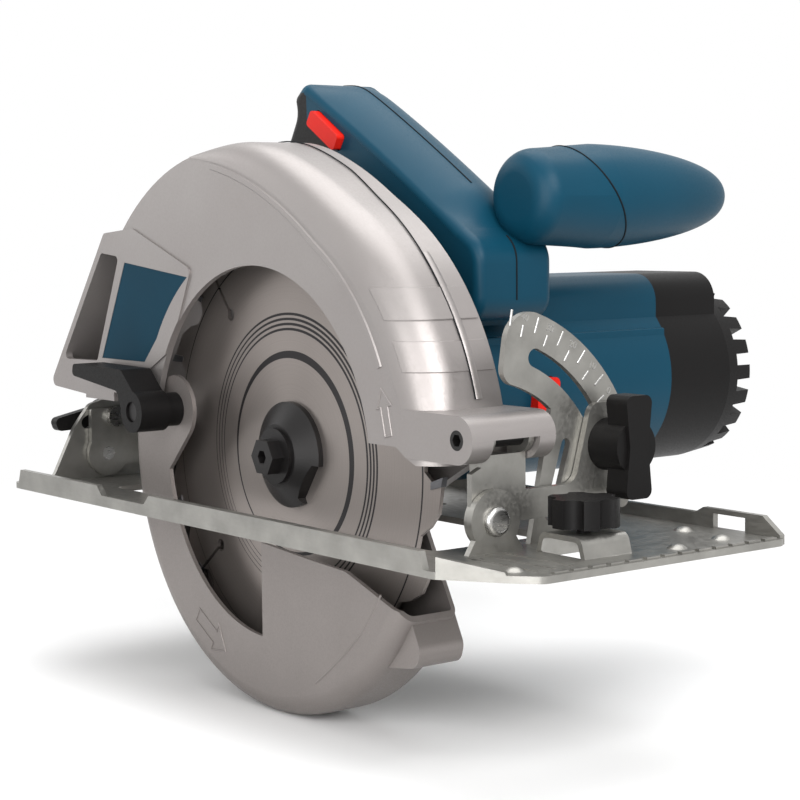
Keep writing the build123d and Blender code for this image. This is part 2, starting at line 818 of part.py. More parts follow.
# Motor end cap with its castle of vent teeth
cap_face = motor_end - vent_depth
cap_deck_end = cap_face - 6.0
with BuildPart() as motor_end_cap:
    housing_skin(housing_end, cap_deck_end)
    turn(
        motor,
        [
            (0, housing_end),
            (motor_r, housing_end),
            (motor_r, cap_deck_end),
            (motor_r - 2.0, motor_end),
            (0, motor_end),
        ],
    )
    ring(motor, motor_r - 9.0, 0, cap_face, motor_end + 1.0, Mode.SUBTRACT)
    with BuildSketch(side(motor_end + 1.0)) as vents:
        for vent in range(vent_teeth):
            angle = (vent + 0.5) * 360.0 / vent_teeth
            with Locations(Location(polar(motor, motor_r - 4.0, angle), angle)):
                Rectangle(14.0, 5.2)
    extrude(amount=vent_depth + 1.0, mode=Mode.SUBTRACT)
    ring(motor, motor_r - housing_wall - 1.0, 0, housing_end - 1.0, cap_face - 3.0, Mode.SUBTRACT)
    ring(motor, motor_rear_r + 3.0, 0, rear_bearing_near, cap_face - 2.0)
    ring(motor, motor_rear_r + seat_gap, 0, rear_bearing_near - 1.0, shaft_end + 1.0, Mode.SUBTRACT)

# Handle: one rounded arch over the motor, parted into a blue grip in two halves and a black rear leg


def at_deck(x, z):
    """Place measured from the middle of the flat deck on the motor housing."""
    return (motor_x + x, deck_top + z)


grip_start = at_deck(45.7, 22.0)
grip_crown = at_deck(-6.0, 54.6)
grip_rear = at_deck(-55.0, 82.0)
web_top = at_deck(-62.8, 75.5)
web_dip = at_deck(-61.0, 68.5)
leg_back = at_deck(-67.4, 57.4)
leg_calf = at_deck(-81.0, 20.0)
leg_heel = at_deck(-85.0, -31.0)
leg_sole = at_deck(-70.0, -41.0)
leg_toe = at_deck(-20.0, -43.0)
leg_instep = at_deck(-20.0, -13.0)
leg_ankle = at_deck(-48.0, -12.0)
leg_shin = at_deck(-53.0, 4.0)
finger_rear = at_deck(-43.0, 50.1)
neck_top = at_deck(18.0, 12.0)
neck_foot = at_deck(18.0, -15.0)
skirt_foot = at_deck(59.0, -15.0)
skirt_top = at_deck(59.0, 14.0)
grip_slope = (neck_top[0] - finger_rear[0], neck_top[1] - finger_rear[1])
grip_middle = ((neck_top[0] + finger_rear[0]) / 2, (neck_top[1] + finger_rear[1]) / 2)
front_grip_x, front_grip_z = at_deck(58.0, 32.5)


def along_grip(y):
    """Upright plane with its first axis along the underside of the grip and its second into the grip."""
    return Plane((grip_middle[0], y, grip_middle[1]), (grip_slope[0], 0, grip_slope[1]), (0, -1, 0))


def bulb():
    """Front grip form about its own line along Y, blunt at the near end with a long taper behind."""
    length = front_grip_end - handle_y
    blunt = (0.87 * front_grip_r, handle_y)
    widest = (front_grip_r, handle_y + 0.34 * length)
    tip = (0.2 * front_grip_r, front_grip_end)
    with BuildSketch(Plane((front_grip_x, 0, front_grip_z))) as half:
        with BuildLine():
            swell = (front_grip_r, handle_y + 0.62 * length)
            Bezier(widest, swell, (0.68 * front_grip_r, front_grip_end), tip)
            Polyline(tip, (0, front_grip_end), (0, handle_y), blunt, widest)
        make_face()
        fillet(half.vertices().sort_by_distance(blunt)[0], 0.45 * front_grip_r)
    revolve(half.sketch, axis=Axis((front_grip_x, 0, front_grip_z), (0, 1, 0)))


def leg_region(mode):
    """Everything behind and below the line that parts the black leg from the blue grip."""
    seam = [
        at_deck(-54.0, 100.0),
        at_deck(-52.5, 76.0),
        at_deck(-52.0, 64.0),
        at_deck(-35.0, 53.0),
        at_deck(-31.0, 40.0),
        at_deck(-10.0, -5.0),
        at_deck(-10.0, -60.0),
        at_deck(-130.0, -60.0),
        at_deck(-130.0, 100.0),
    ]
    plate(side(grip_far + 1.0), handle_width + 2.0, seam, [0.0, 3.0, 4.0, 4.0, 0.0, 0.0, 0.0, 0.0, 0.0], mode)


trigger_width = 16.4
lock_length = 22.0
lock_width = 7.0
lock_place = (-36.5, 12.6)
handle_screw_places = [at_deck(22.0, 24.0), at_deck(45.0, -5.0)]
grip_cavity = [
    (-21.0, handle_wall),
    (26.0, handle_wall),
    (26.0, 20.0),
    (-5.0, 20.0),
    (-30.0, 19.0),
    (-50.0, 16.5),
    (-50.0, 9.2),
    (-27.0, 9.2),
]
seam_plane = Plane((front_grip_x, 92.0, front_grip_z), (1, 0, 0), (0, 1, 0.65))
with BuildPart() as handle_arch:
    with BuildSketch(side(grip_far)) as arch_face:
        with BuildLine():
            ThreePointArc(grip_start, grip_crown, grip_rear)
            Polyline(grip_rear, web_top, web_dip, leg_back, leg_calf, leg_heel, leg_sole, leg_toe)
            Polyline(leg_toe, leg_instep, leg_ankle, leg_shin, finger_rear, neck_top, neck_foot)
            Polyline(neck_foot, skirt_foot, skirt_top, grip_start)
        make_face()
        arch_rounds = [
            (grip_rear, 5.0),
            (web_top, 4.0),
            (web_dip, 8.0),
            (leg_back, 14.0),
            (leg_calf, 30.0),
            (leg_heel, 8.0),
            (leg_sole, 6.0),
            (leg_ankle, 8.0),
            (leg_shin, 10.0),
            (finger_rear, 10.0),
            (neck_top, 12.0),
            (skirt_foot, 9.0),
            (skirt_top, 12.0),
        ]
        for place, radius in arch_rounds:
            fillet(arch_face.vertices().sort_by_distance(place)[0], radius)
    extrude(amount=handle_width)
    fillet(handle_arch.faces().filter_by(Axis.Y).edges(), handle_round)
    housing_skin(guard_far, motor_end, Mode.SUBTRACT, seat_gap)

with BuildPart() as grip_form:
    add(handle_arch.part)
    leg_region(Mode.SUBTRACT)
    bulb()
    plate(along_grip(handle_y + cavity_width / 2), cavity_width, grip_cavity, 1.5, Mode.SUBTRACT)
    trigger_half = trigger_width / 2 + plate_gap
    mouth = [(-14.3, -3.0), (15.3, -3.0), (15.3, 4.0), (-14.3, 4.0)]
    plate(along_grip(handle_y + trigger_half), 2 * trigger_half, mouth, 0.0, Mode.SUBTRACT)
    with BuildSketch(along_grip(handle_y)) as lock_mouth:
        with Locations(lock_place):
            RectangleRounded(lock_length + 2 * plate_gap, lock_width + 2 * plate_gap, 1.5)
    extrude(amount=handle_width, mode=Mode.SUBTRACT)
    for place in handle_screw_places:
        ring(place, 3.0 + seat_gap, 0, grip_far - 4.0, grip_far + 1.0, Mode.SUBTRACT)
        ring(place, 1.5 + running_gap, 0, grip_near + 8.0, grip_far, Mode.SUBTRACT)

with BuildPart() as handle_near:
    add(grip_form.part)
    split(bisect_by=side(handle_y), keep=Keep.TOP)

with BuildPart() as handle_far:
    add(grip_form.part)
    split(bisect_by=side(handle_y), keep=Keep.BOTTOM)
    split(bisect_by=seam_plane, keep=Keep.BOTTOM)

with BuildPart() as front_grip:
    bulb()
    split(bisect_by=seam_plane, keep=Keep.TOP)

with BuildPart() as handle_screws:
    for place in handle_screw_places:
        ring(place, 3.0, 0, grip_far - 4.0, grip_far - 1.5)
        ring(place, 1.5, 0, grip_near + 8.0, grip_far - 2.0)

# Trigger, switch and lock-off button inside the grip
flange_in = handle_wall + plate_gap
with BuildPart() as trigger:
    pad = [(-13.0, 0.0), (-12.0, -8.0), (-4.0, -6.5), (6.0, -6.5), (13.0, -8.5), (15.0, 0.0)]
    stem = [
        (15.0, flange_in),
        (18.0, flange_in),
        (18.0, flange_in + 2.5),
        (-17.0, flange_in + 2.5),
        (-17.0, flange_in),
    ]
    rounds = [0.0, 2.5, 4.0, 4.0, 2.5, 0.0, 0.0, 0.0, 0.0, 0.0, 0.0, 0.0]
    plate(along_grip(handle_y + trigger_width / 2), trigger_width, pad + stem + [(-13.0, flange_in)], rounds)

switch_floor = flange_in + 2.5 + trigger_travel + plate_gap
with BuildPart() as switch_body:
    frame = [(-2.0, switch_floor), (24.0, switch_floor), (24.0, 20.0), (-2.0, 20.0)]
    plate(along_grip(handle_y + 9.0), 18.0, frame, 1.0)

lock_face = grip_near - 3.5
with BuildPart() as lock_off:
    with BuildSketch(along_grip(grip_near + handle_wall + 1.5)) as lock_pad:
        with Locations(lock_place):
            RectangleRounded(lock_length, lock_width, 1.5)
    extrude(amount=grip_near + handle_wall + 1.5 - lock_face)
    with BuildSketch(along_grip(grip_near + handle_wall + 1.8)) as lock_flange:
        with Locations(lock_place):
            Rectangle(lock_length + 2.4, lock_width - 1.0)
    extrude(amount=1.5)

# Black rear leg of the handle, hollow for the leads, and the cord bush in its heel
bush_place = (handle_y, deck_top - 17.0)
bush_r = 8.0
heel_x = leg_heel[0]
leg_hollow = [
    at_deck(-62.0, 53.0),
    at_deck(-74.5, 24.0),
    at_deck(-79.0, -2.0),
    at_deck(-79.0, -27.0),
    at_deck(-62.0, -33.0),
    at_deck(-56.0, -19.0),
    at_deck(-59.0, 4.0),
    at_deck(-52.0, 37.0),
]
with BuildPart() as rear_leg:
    add(handle_arch.part)
    leg_region(Mode.INTERSECT)
    plate(side(handle_y + cavity_width / 2), cavity_width, leg_hollow, 2.0, Mode.SUBTRACT)
    stud(heel_x - 10.0, heel_x + 12.0, bush_r - 1.0, *bush_place, Mode.SUBTRACT)

with BuildPart() as cord_bush:
    stud(heel_x - 7.0, heel_x - seat_gap, bush_r, *bush_place)
    stud(heel_x - 1.0, heel_x + 8.0, bush_r - 1.0 - running_gap, *bush_place)
    stud(heel_x - 10.0, heel_x + 12.0, 4.0, *bush_place, Mode.SUBTRACT)

# Shaft-lock button in the housing front, pin towards the collar on the motor shaft
with BuildPart() as shaft_lock:
    with BuildSketch(upright(motor_x + motor_r - 5.0)) as button:
        with Locations((lock_y, motor_z - lock_drop)):
            RectangleRounded(lock_half_y * 2, lock_half_z * 2, 2.5)
    extrude(amount=8.5)
    stud(motor_x + collar_r + 1.0, motor_x + motor_r - 4.0, lock_pin_r, lock_y, motor_z)

# Depth hinge pin, depth bolt and its lever
with BuildPart() as depth_pin:
    ring(pivot, hinge_pin_r, 0, guard_near, hinge_far)
    with BuildSketch(side(guard_near + 4.0)) as pin_socket:
        with Locations(pivot):
            RegularPolygon(2.0, 6, major_radius=False)
    extrude(amount=5.0, mode=Mode.SUBTRACT)

arm_near = guard_far + 0.4
arm_far = arm_near + sheet
with BuildPart() as depth_bolt:
    turn(
        arm_bolt,
        [
            (0, cavity_far + 0.1),
            (5.0, cavity_far + 0.1),
            (5.0, cavity_far + 2.0),
            (clamp_bolt_r, cavity_far + 2.0),
            (clamp_bolt_r, arm_far + 11.0),
            (0, arm_far + 11.0),
        ],
    )

with BuildPart() as depth_lever:
    lever_near = arm_far + 0.05
    ring(arm_bolt, 9.0, 0, lever_near, lever_near + 9.0)
    bolt_x, bolt_z = arm_bolt
    paddle = [(0.0, -7.0), (-30.0, -5.0), (-48.0, -6.0), (-50.0, 4.0), (-30.0, 5.0), (0.0, 8.0)]
    plate(side(lever_near + 8.0), 6.0, [(bolt_x + x, bolt_z + z) for x, z in paddle], 1.5)
    ring(arm_bolt, clamp_bolt_r + running_gap, 0, lever_near - 1.0, lever_near + 10.0, Mode.SUBTRACT)

# Tilt frame: depth arm with the rear tilt plate, and the front bracket with the bevel quadrant
bevel = (bevel_y, bevel_z)
rear_tilt_x = base_rear + 14.4
rear_bolt = polar(bevel, 17.0, 78.0)
lobe = 10.0
arm_top = 180.0 - arm_rest_angle - depth_angle - 2.5
arm_foot = 180.0 - arm_rest_angle + 2.5
tilt_outline = [
    (bevel_y - 8.5, bevel_z),
    (bevel_y - 8.5, 34.0),
    (14.0, 34.0),
    (arm_far, 22.0),
    (arm_far, 8.0),
    (0.0, 8.0),
]
with BuildPart() as depth_arm:
    with BuildSketch(side(arm_far)) as arm_face:
        add(arc_slot(pivot, arm_r, arm_width, arm_top, arm_foot - arm_top))
        with BuildLine():
            foot = polar(pivot, arm_r + arm_width / 2 - 1.0, arm_foot)
            head = polar(pivot, arm_r + arm_width / 2 - 1.0, arm_foot - 4.0)
            Polyline(
                (rear_tilt_x, 8.0),
                (rear_tilt_x, 22.0),
                (head[0], 24.0),
                foot,
                (foot[0], 8.0),
                close=True,
            )
        make_face()
        slot_start = 180.0 - arm_rest_angle - depth_angle - 1.0
        slot_width = 2 * (clamp_bolt_r + seat_gap)
        add(arc_slot(pivot, arm_r, slot_width, slot_start, depth_angle + 1.0), mode=Mode.SUBTRACT)
    extrude(amount=sheet)
    with BuildSketch(upright(rear_tilt_x)) as tilt_face:
        with Locations(bevel):
            Circle(lobe)
        with BuildLine():
            FilletPolyline(*tilt_outline, radius=1.0, close=True)
        make_face()
        with Locations(bevel):
            Circle(rivet_r + running_gap, mode=Mode.SUBTRACT)
        with Locations(rear_bolt):
            Circle(2.5 + running_gap, mode=Mode.SUBTRACT)
    extrude(amount=sheet)

bracket_x = pivot_x - 1.2
tongue_top = pivot_z - 6.0
clamp_bolt = polar(bevel, quadrant_r, 22.0)
tongue_outline = [
    (bevel_y - 8.5, bevel_z),
    (bevel_y - 8.5, 30.0),
    (-8.5, 32.0),
    (-8.5, tongue_top),
    (11.5, tongue_top),
    (11.5, bevel_z - 1.5),
    (0.0, bevel_z - 1.5),
]
ear_outline = [
    (0.0, bevel_z - 1.5),
    (bevel_y + 66.0, bevel_z - 1.5),
    (bevel_y + 66.0, bevel_z + 32.0),
    (bevel_y + 60.0, bevel_z + 37.5),
    (bevel_y + 47.5, bevel_z + 37.5),
    (bevel_y + 39.5, bevel_z + 9.3),
    (0.0, bevel_z + 9.3),
]
with BuildPart() as tilt_bracket:
    plate(upright(bracket_x), sheet, tongue_outline)
    plate(upright(bracket_x), sheet, ear_outline, [0.0, 3.0, 5.0, 5.0, 5.0, 6.0, 0.0])
    stud(bracket_x, bracket_x + sheet, lobe, bevel_y, bevel_z)
    stud(bracket_x - 1.0, bracket_x + 2 * sheet, rivet_r + running_gap, bevel_y, bevel_z, Mode.SUBTRACT)
    stud(bracket_x - 1.0, bracket_x + 2 * sheet, clamp_bolt_r + running_gap, *clamp_bolt, Mode.SUBTRACT)
    for y in (-6.0, 11.5):
        with BuildSketch(side(y)) as ear_face:
            with BuildLine():
                ear_edge = bracket_x + sheet
                eye_back = pivot_x - hinge_eye_r
                Polyline(
                    (eye_back, pivot_z),
                    (eye_back + 1.0, pivot_z - 14.0),
                    (ear_edge, pivot_z - 14.0),
                    (ear_edge, pivot_z),
                    close=True,
                )
            make_face()
            with Locations(pivot):
                Circle(hinge_eye_r)
                Circle(hinge_pin_r + running_gap, mode=Mode.SUBTRACT)
        extrude(amount=sheet)

# Base: pressed steel sole with rims, blade opening, front upright and rear ear
front_x = bracket_x + sheet + plate_gap
quadrant_x = bracket_x - plate_gap - sheet
band_in = quadrant_r - 12.0
band_out = quadrant_r + 15.0
band_start = 17.0
band_sweep = 64.0
leg_lean = 72.0
rear_x = rear_tilt_x - plate_gap - sheet
opening_near = -19.0
opening_far = 36.0
strap_near = 8.0
strap_far = 30.0
strap_top = sheet + guide_bar_height + 0.4
emboss_places = [(14.9, -23.0), (11.4, 49.0), (37.4, 79.0), (14.9, 75.0)]
dash_count = 13
with BuildPart() as base_plate:
    chamfer_run = 30.4
    base_outline = [
        (base_rear, base_near),
        (base_front - chamfer_run, base_near),
        (base_front - 8.4, base_near + 14.6),
        (base_front, base_near + 22.0),
        (base_front, base_far),
        (base_rear, base_far),
    ]
    plate(Plane.XY, sheet, base_outline, [6.0, 6.0, 6.0, 6.0, 5.0, 5.0])
    notch_rear = -80.0
    notch_front = -38.0
    plate(
        side(base_near + sheet),
        sheet,
        [
            (base_rear + 6.0, 0.0),
            (base_rear + 9.0, near_rim),
            (notch_rear, near_rim),
            (notch_rear + 4.0, near_rim_notch),
            (notch_front - 4.0, near_rim_notch),
            (notch_front, near_rim),
            (base_front - chamfer_run - 7.0, near_rim),
            (base_front - chamfer_run - 4.0, 0.0),
        ],
    )
    plate(
        side(base_far),
        sheet,
        [
            (base_rear + 6.0, 0.0),
            (base_rear + 7.0, far_rim),
            (guide_x - 17.0, far_rim),
            (guide_x - 13.0, far_rim + 2.2),
            (guide_x + 16.0, far_rim + 2.2),
            (base_front - 2.0, sheet + 1.0),
            (base_front - 2.0, 0.0),
        ],
    )
    chamfer_start = (base_front - chamfer_run, base_near)
    chamfer_end = (base_front - 8.4, base_near + 14.6)
    chamfer_length = math.dist(chamfer_start, chamfer_end)
    chamfer_way = (chamfer_end[0] - chamfer_start[0], chamfer_end[1] - chamfer_start[1], 0)
    chamfer_wall = Plane((*chamfer_start, 0), chamfer_way, (chamfer_way[1], -chamfer_way[0], 0))
    chamfer_tail = (chamfer_length - 2.0, sheet + 1.0)
    plate(chamfer_wall, -sheet, [(1.0, 0.0), (1.0, near_rim - 1.0), chamfer_tail, (chamfer_length, 0.0)])
    with BuildSketch(Plane.XY) as openings:
        with BuildLine():
            FilletPolyline(
                (-guard_r, opening_near),
                (guard_r + 2.0, opening_near),
                (guard_r + 2.0, opening_far),
                (-guard_r, opening_far),
                radius=4.0,
                close=True,
            )
        make_face()
        lobe_room = lobe_r + lobe_wall + 2.0
        with BuildLine():
            FilletPolyline(
                (-lobe_room, 0.0),
                (lobe_room, 0.0),
                (lobe_room, bridge_far + 3.0),
                (-lobe_room, bridge_far + 3.0),
                radius=3.0,
                close=True,
            )
        make_face()
        with Locations((guide_x - 13.0, -18.0)):
            Circle(2.2)
        with Locations((guide_x, guide_y)):
            Rectangle(25.0, strap_far - strap_near - 2.0)
    extrude(amount=sheet, mode=Mode.SUBTRACT)
    with BuildSketch(side(base_far)) as guide_window:
        with Locations((guide_x, sheet + 0.2 + guide_bar_height / 2)):
            Rectangle(guide_bar_width + 0.6, guide_bar_height + 0.4)
    extrude(amount=sheet, mode=Mode.SUBTRACT)
    with BuildSketch(side(strap_far)) as strap_face:
        with BuildLine():
            hat_half = [
                (8.6, strap_top),
                (10.8, 0.2),
                (13.0, 0.2),
                (13.0, sheet),
                (12.2, sheet),
                (10.2, strap_top + 1.8),
            ]
            hat_other = [(-x, z) for x, z in reversed(hat_half)]
            hat_rounds = [2.0, 0.5, 0.0, 0.0, 0.4, 3.5]
            FilletPolyline(
                *[(guide_x + x, z) for x, z in hat_half + hat_other],
                radius=hat_rounds + hat_rounds[::-1],
                close=True,
            )
        make_face()
    extrude(amount=strap_far - strap_near)
    with Locations((guide_x, guide_y, strap_top)):
        Cylinder(2.5 + running_gap, 10.0, mode=Mode.SUBTRACT)
    with BuildSketch(upright(front_x)) as front_face:
        with Locations(bevel):
            Circle(lobe + 1.0)
        with BuildLine():
            lobe_foot = bevel_z - 6.0
            Polyline(
                (bevel_y - 14.0, 0.0),
                (bevel_y - 9.2, lobe_foot),
                (bevel_y + 9.2, lobe_foot),
                (bevel_y + 14.0, 0.0),
                close=True,
            )
        make_face()
        with Locations(bevel):
            Circle(rivet_r + running_gap, mode=Mode.SUBTRACT)
    extrude(amount=sheet)
    with BuildSketch(upright(quadrant_x)) as quadrant_face:
        with BuildLine():
            CenterArc(bevel, band_out, band_start, band_sweep)
            band_end = band_start + band_sweep
            Line(polar(bevel, band_out, band_end), polar(bevel, band_in, band_end))
            CenterArc(bevel, band_in, band_start, band_sweep)
            Line(polar(bevel, band_in, band_start), polar(bevel, band_out, band_start))
        make_face()
        for radius, rounding in ((band_out, 11.0), (band_in, 6.0)):
            band_corner = polar(bevel, radius, band_end)
            fillet(quadrant_face.vertices().sort_by_distance(band_corner)[0], rounding)
        with BuildLine():
            Polyline(
                (bevel_y + 20.0, 0.0),
                (bevel_y + 36.0, 0.0),
                (bevel_y + 48.0, bevel_z + 36.0),
                (bevel_y + 31.0, bevel_z + 38.0),
                close=True,
            )
        make_face()
        with Locations(Location((bevel_y + 33.5, bevel_z + 11.0), leg_lean)):
            SlotCenterToCenter(26.0, 4.0, mode=Mode.SUBTRACT)
        add(arc_slot(bevel, quadrant_r, quadrant_slot, 22.0, bevel_angle), mode=Mode.SUBTRACT)
    extrude(amount=sheet)
    with BuildSketch(upright(rear_x)) as rear_face:
        with BuildLine():
            ear = [
                (-36.0, 0.0),
                (-30.0, 6.0),
                (-20.0, 26.0),
                (-12.0, 36.0),
                (0.0, 39.0),
                (14.0, 39.0),
                (20.0, 30.0),
                (24.0, 0.0),
            ]
            FilletPolyline(*ear, radius=[0.0, 6.0, 6.0, 5.0, 5.0, 4.0, 5.0, 0.0], close=True)
        make_face()
        with Locations(bevel):
            Circle(rivet_r + running_gap, mode=Mode.SUBTRACT)
        add(arc_slot(bevel, 17.0, 5.4, 78.0, bevel_angle), mode=Mode.SUBTRACT)
    extrude(amount=sheet)
    with Locations(*[(base_front - x, y, sheet - 3.4) for x, y in emboss_places]):
        Sphere(5.0)
    with Locations(*[(base_front - 26.0, base_near + 26.0 + 8.0 * rib, sheet) for rib in range(3)]):
        Box(34.0, 1.6, 0.7)
    dash_start = base_near + 26.0
    dash_pitch = (base_far - 4.0 - dash_start) / dash_count
    dash_rows = [dash_start + dash_pitch * (dash + 0.5) for dash in range(dash_count)]
    with Locations(*[(base_front - 2.2, y, sheet) for y in dash_rows]):
        Box(2.2, dash_pitch - 2.2, 1.6)
    with Locations((guide_x - base_length / 2, 0, -10.0)):
        Box(2 * base_length, 2 * base_width, 20.0, mode=Mode.SUBTRACT)

# Bevel pivots, bevel clamp with its knob, and the rear clamp with its lever
rivet_head = 2.4
with BuildPart() as bevel_rivets:
    stud(bracket_x, front_x + sheet, rivet_r, bevel_y, bevel_z)
    stud(front_x + sheet, front_x + sheet + rivet_head, 5.4, bevel_y, bevel_z)
    stud(rear_x, rear_tilt_x + sheet, rivet_r, bevel_y, bevel_z)
    stud(rear_x - rivet_head, rear_x, 5.4, bevel_y, bevel_z)
    rims = bevel_rivets.edges().filter_by(GeomType.CIRCLE).sort_by(Axis.X)
    fillet([rims[0], rims[-1]], rivet_head * 0.8)

with BuildPart() as bevel_bolt:
    stud(quadrant_x - 4.0, quadrant_x - 0.05, 6.0, *clamp_bolt)
    stud(quadrant_x - 0.05, bracket_x + sheet + 12.5, clamp_bolt_r, *clamp_bolt)

knob_x = bracket_x + sheet + 0.05
with BuildPart() as bevel_knob:
    stud(knob_x, knob_x + 15.0, 9.5, *clamp_bolt)
    knob_y, knob_z = clamp_bolt
    wing = [(-6.5, -18.5), (6.5, -18.5), (4.5, 0.0), (6.5, 18.5), (-6.5, 18.5), (-4.5, 0.0)]
    wing_outline = [(knob_y + y, knob_z + z) for y, z in wing]
    plate(upright(knob_x + 6.0), 10.5, wing_outline, [3.0, 3.0, 6.0, 3.0, 3.0, 6.0])
    stud(knob_x - 1.0, knob_x + 13.0, clamp_bolt_r + running_gap, *clamp_bolt, Mode.SUBTRACT)

with BuildPart() as rear_bevel_bolt:
    stud(rear_x - 8.0, rear_tilt_x + sheet, 2.5, *rear_bolt)
    stud(rear_tilt_x + sheet, rear_tilt_x + sheet + 3.0, 4.5, *rear_bolt)

with BuildPart() as rear_lever:
    stud(rear_x - 8.0, rear_x - 0.05, 7.0, *rear_bolt)
    with BuildSketch(upright(rear_x - 8.0)) as arm_paddle:
        with BuildLine():
            lever_y, lever_z = rear_bolt
            tab = [(0.0, -5.0), (-24.0, -6.0), (-26.0, -0.5), (0.0, 5.0)]
            tab_outline = [(lever_y + y, lever_z + z) for y, z in tab]
            FilletPolyline(*tab_outline, radius=[0.0, 2.4, 2.4, 0.0], close=True)
        make_face()
    extrude(amount=5.0)
    stud(rear_x - 9.0, rear_x + 1.0, 2.5 + running_gap, *rear_bolt, Mode.SUBTRACT)

# Guide-bar clamp screw with a scalloped knob
guide_knob_r = 12.4
with BuildPart() as guide_clamp:
    knob_floor = strap_top + 1.8 + 2.0
    with Locations((guide_x, guide_y, knob_floor)):
        Cylinder(guide_knob_r, 10.0, align=(Align.CENTER, Align.CENTER, Align.MIN))
        with PolarLocations(guide_knob_r + 1.6, 6):
            Cylinder(4.2, 30.0, mode=Mode.SUBTRACT)
    with Locations((guide_x, guide_y, strap_top)):
        Cylinder(2.5, 6.0, align=(Align.CENTER, Align.CENTER, Align.MIN))

pieces = {
    "upper_guard": upper_guard,
    "duct_plate": duct_plate,
    "bearing_cover": bearing_cover,
    "cover_screws": cover_screws,
    "lower_guard": lower_guard,
    "guard_lever": guard_lever,
    "guard_lever_screw": guard_lever_screw,
    "saw_blade": saw_blade,
    "carbide_tips": carbide_tips,
    "spindle": spindle,
    "inner_flange": inner_flange,
    "outer_flange": outer_flange,
    "blade_bolt": blade_bolt,
    "spindle_gear": spindle_gear,
    "armature_shaft": armature_shaft,
    "armature_core": armature_core,
    "armature_windings": armature_windings,
    "commutator": commutator,
    "cooling_fan": cooling_fan,
    "stator_core": stator_core,
    "field_coils": field_coils,
    "brush_holders": brush_holders,
    "carbon_brushes": carbon_brushes,
    "spindle_front_bearing": spindle_front_bearing,
    "spindle_rear_bearing": spindle_rear_bearing,
    "motor_front_bearing": motor_front_bearing,
    "motor_rear_bearing": motor_rear_bearing,
    "motor_housing": motor_housing,
    "bearing_bridge": bearing_bridge,
    "motor_end_cap": motor_end_cap,
    "handle_near": handle_near,
    "handle_far": handle_far,
    "front_grip": front_grip,
    "handle_screws": handle_screws,
    "trigger": trigger,
    "switch_body": switch_body,
    "lock_off": lock_off,
    "rear_leg": rear_leg,
    "cord_bush": cord_bush,
    "shaft_lock": shaft_lock,
    "depth_pin": depth_pin,
    "depth_bolt": depth_bolt,
    "depth_lever": depth_lever,
    "depth_arm": depth_arm,
    "tilt_bracket": tilt_bracket,
    "base_plate": base_plate,
    "bevel_rivets": bevel_rivets,
    "bevel_bolt": bevel_bolt,
    "bevel_knob": bevel_knob,
    "rear_bevel_bolt": rear_bevel_bolt,
    "rear_lever": rear_lever,
    "guide_clamp": guide_clamp,
}
for name, piece in pieces.items():
    piece.part.label = name
    export_step(piece.part, f"parts/{name}.step")
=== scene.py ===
"""Studio scene of a hand-held circular saw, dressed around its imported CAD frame."""

import logging
import math
from dataclasses import dataclass, field
from enum import Enum
from typing import Any, Sequence

import bmesh
import bpy
import numpy as np
from mathutils import Matrix, Vector


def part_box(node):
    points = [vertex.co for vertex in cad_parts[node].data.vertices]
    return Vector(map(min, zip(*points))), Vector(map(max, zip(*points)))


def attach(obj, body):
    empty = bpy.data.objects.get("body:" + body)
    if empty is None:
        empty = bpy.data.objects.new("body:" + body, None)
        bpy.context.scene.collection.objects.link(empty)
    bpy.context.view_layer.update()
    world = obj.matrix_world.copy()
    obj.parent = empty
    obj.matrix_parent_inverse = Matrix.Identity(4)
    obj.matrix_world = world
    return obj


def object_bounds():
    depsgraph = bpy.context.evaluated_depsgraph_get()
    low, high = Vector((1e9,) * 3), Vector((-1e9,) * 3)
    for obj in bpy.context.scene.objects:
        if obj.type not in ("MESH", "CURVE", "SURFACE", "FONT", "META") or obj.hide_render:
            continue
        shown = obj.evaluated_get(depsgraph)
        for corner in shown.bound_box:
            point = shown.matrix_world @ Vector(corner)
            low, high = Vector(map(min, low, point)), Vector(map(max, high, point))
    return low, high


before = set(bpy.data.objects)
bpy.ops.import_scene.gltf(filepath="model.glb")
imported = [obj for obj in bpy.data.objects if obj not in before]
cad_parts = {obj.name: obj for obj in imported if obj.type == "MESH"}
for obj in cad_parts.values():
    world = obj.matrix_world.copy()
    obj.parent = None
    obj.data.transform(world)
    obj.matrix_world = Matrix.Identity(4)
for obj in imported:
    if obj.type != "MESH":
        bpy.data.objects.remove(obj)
CAD_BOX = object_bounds()

LOG = logging.getLogger("circular_saw")
MM = 0.001
IMAGE_PIXELS = 800
QUARTER = np.pi / 2

# Height of the blade axis over the underside of the base, in millimetres
HUB_Z = 25.0
# An edge that turns by more than this is shaded sharp
SHARP_DEG = 35.0
# Corners that lie closer than this, in metres, become one
MERGE_M = 1e-7

Pair = tuple[float, float]
Triple = tuple[float, float, float]
Row = Sequence[Pair]
Socket = bpy.types.NodeSocket
Look = tuple[Socket, Socket, Socket]


class Body(Enum):
    """Moving bodies of the saw that new pieces ride on."""

    SAW = "saw_body"
    GUARD = "guard_shell"
    BASE = "base"


def linear(hex_colour: str) -> tuple[float, float, float, float]:
    """Turn an sRGB hex value into linear red, green, blue and full alpha.

    A dark channel is divided by 12.92. Any other gets 0.055 added, is divided by 1.055 and raised to 2.4.

    Args:
        hex_colour: colour such as "#1f5674".

    Returns:
        The four linear channel values.
    """
    channels = [int(hex_colour[i : i + 2], 16) / 255 for i in (1, 3, 5)]
    red, green, blue = (c / 12.92 if c <= 0.04045 else ((c + 0.055) / 1.055) ** 2.4 for c in channels)
    return (red, green, blue, 1.0)


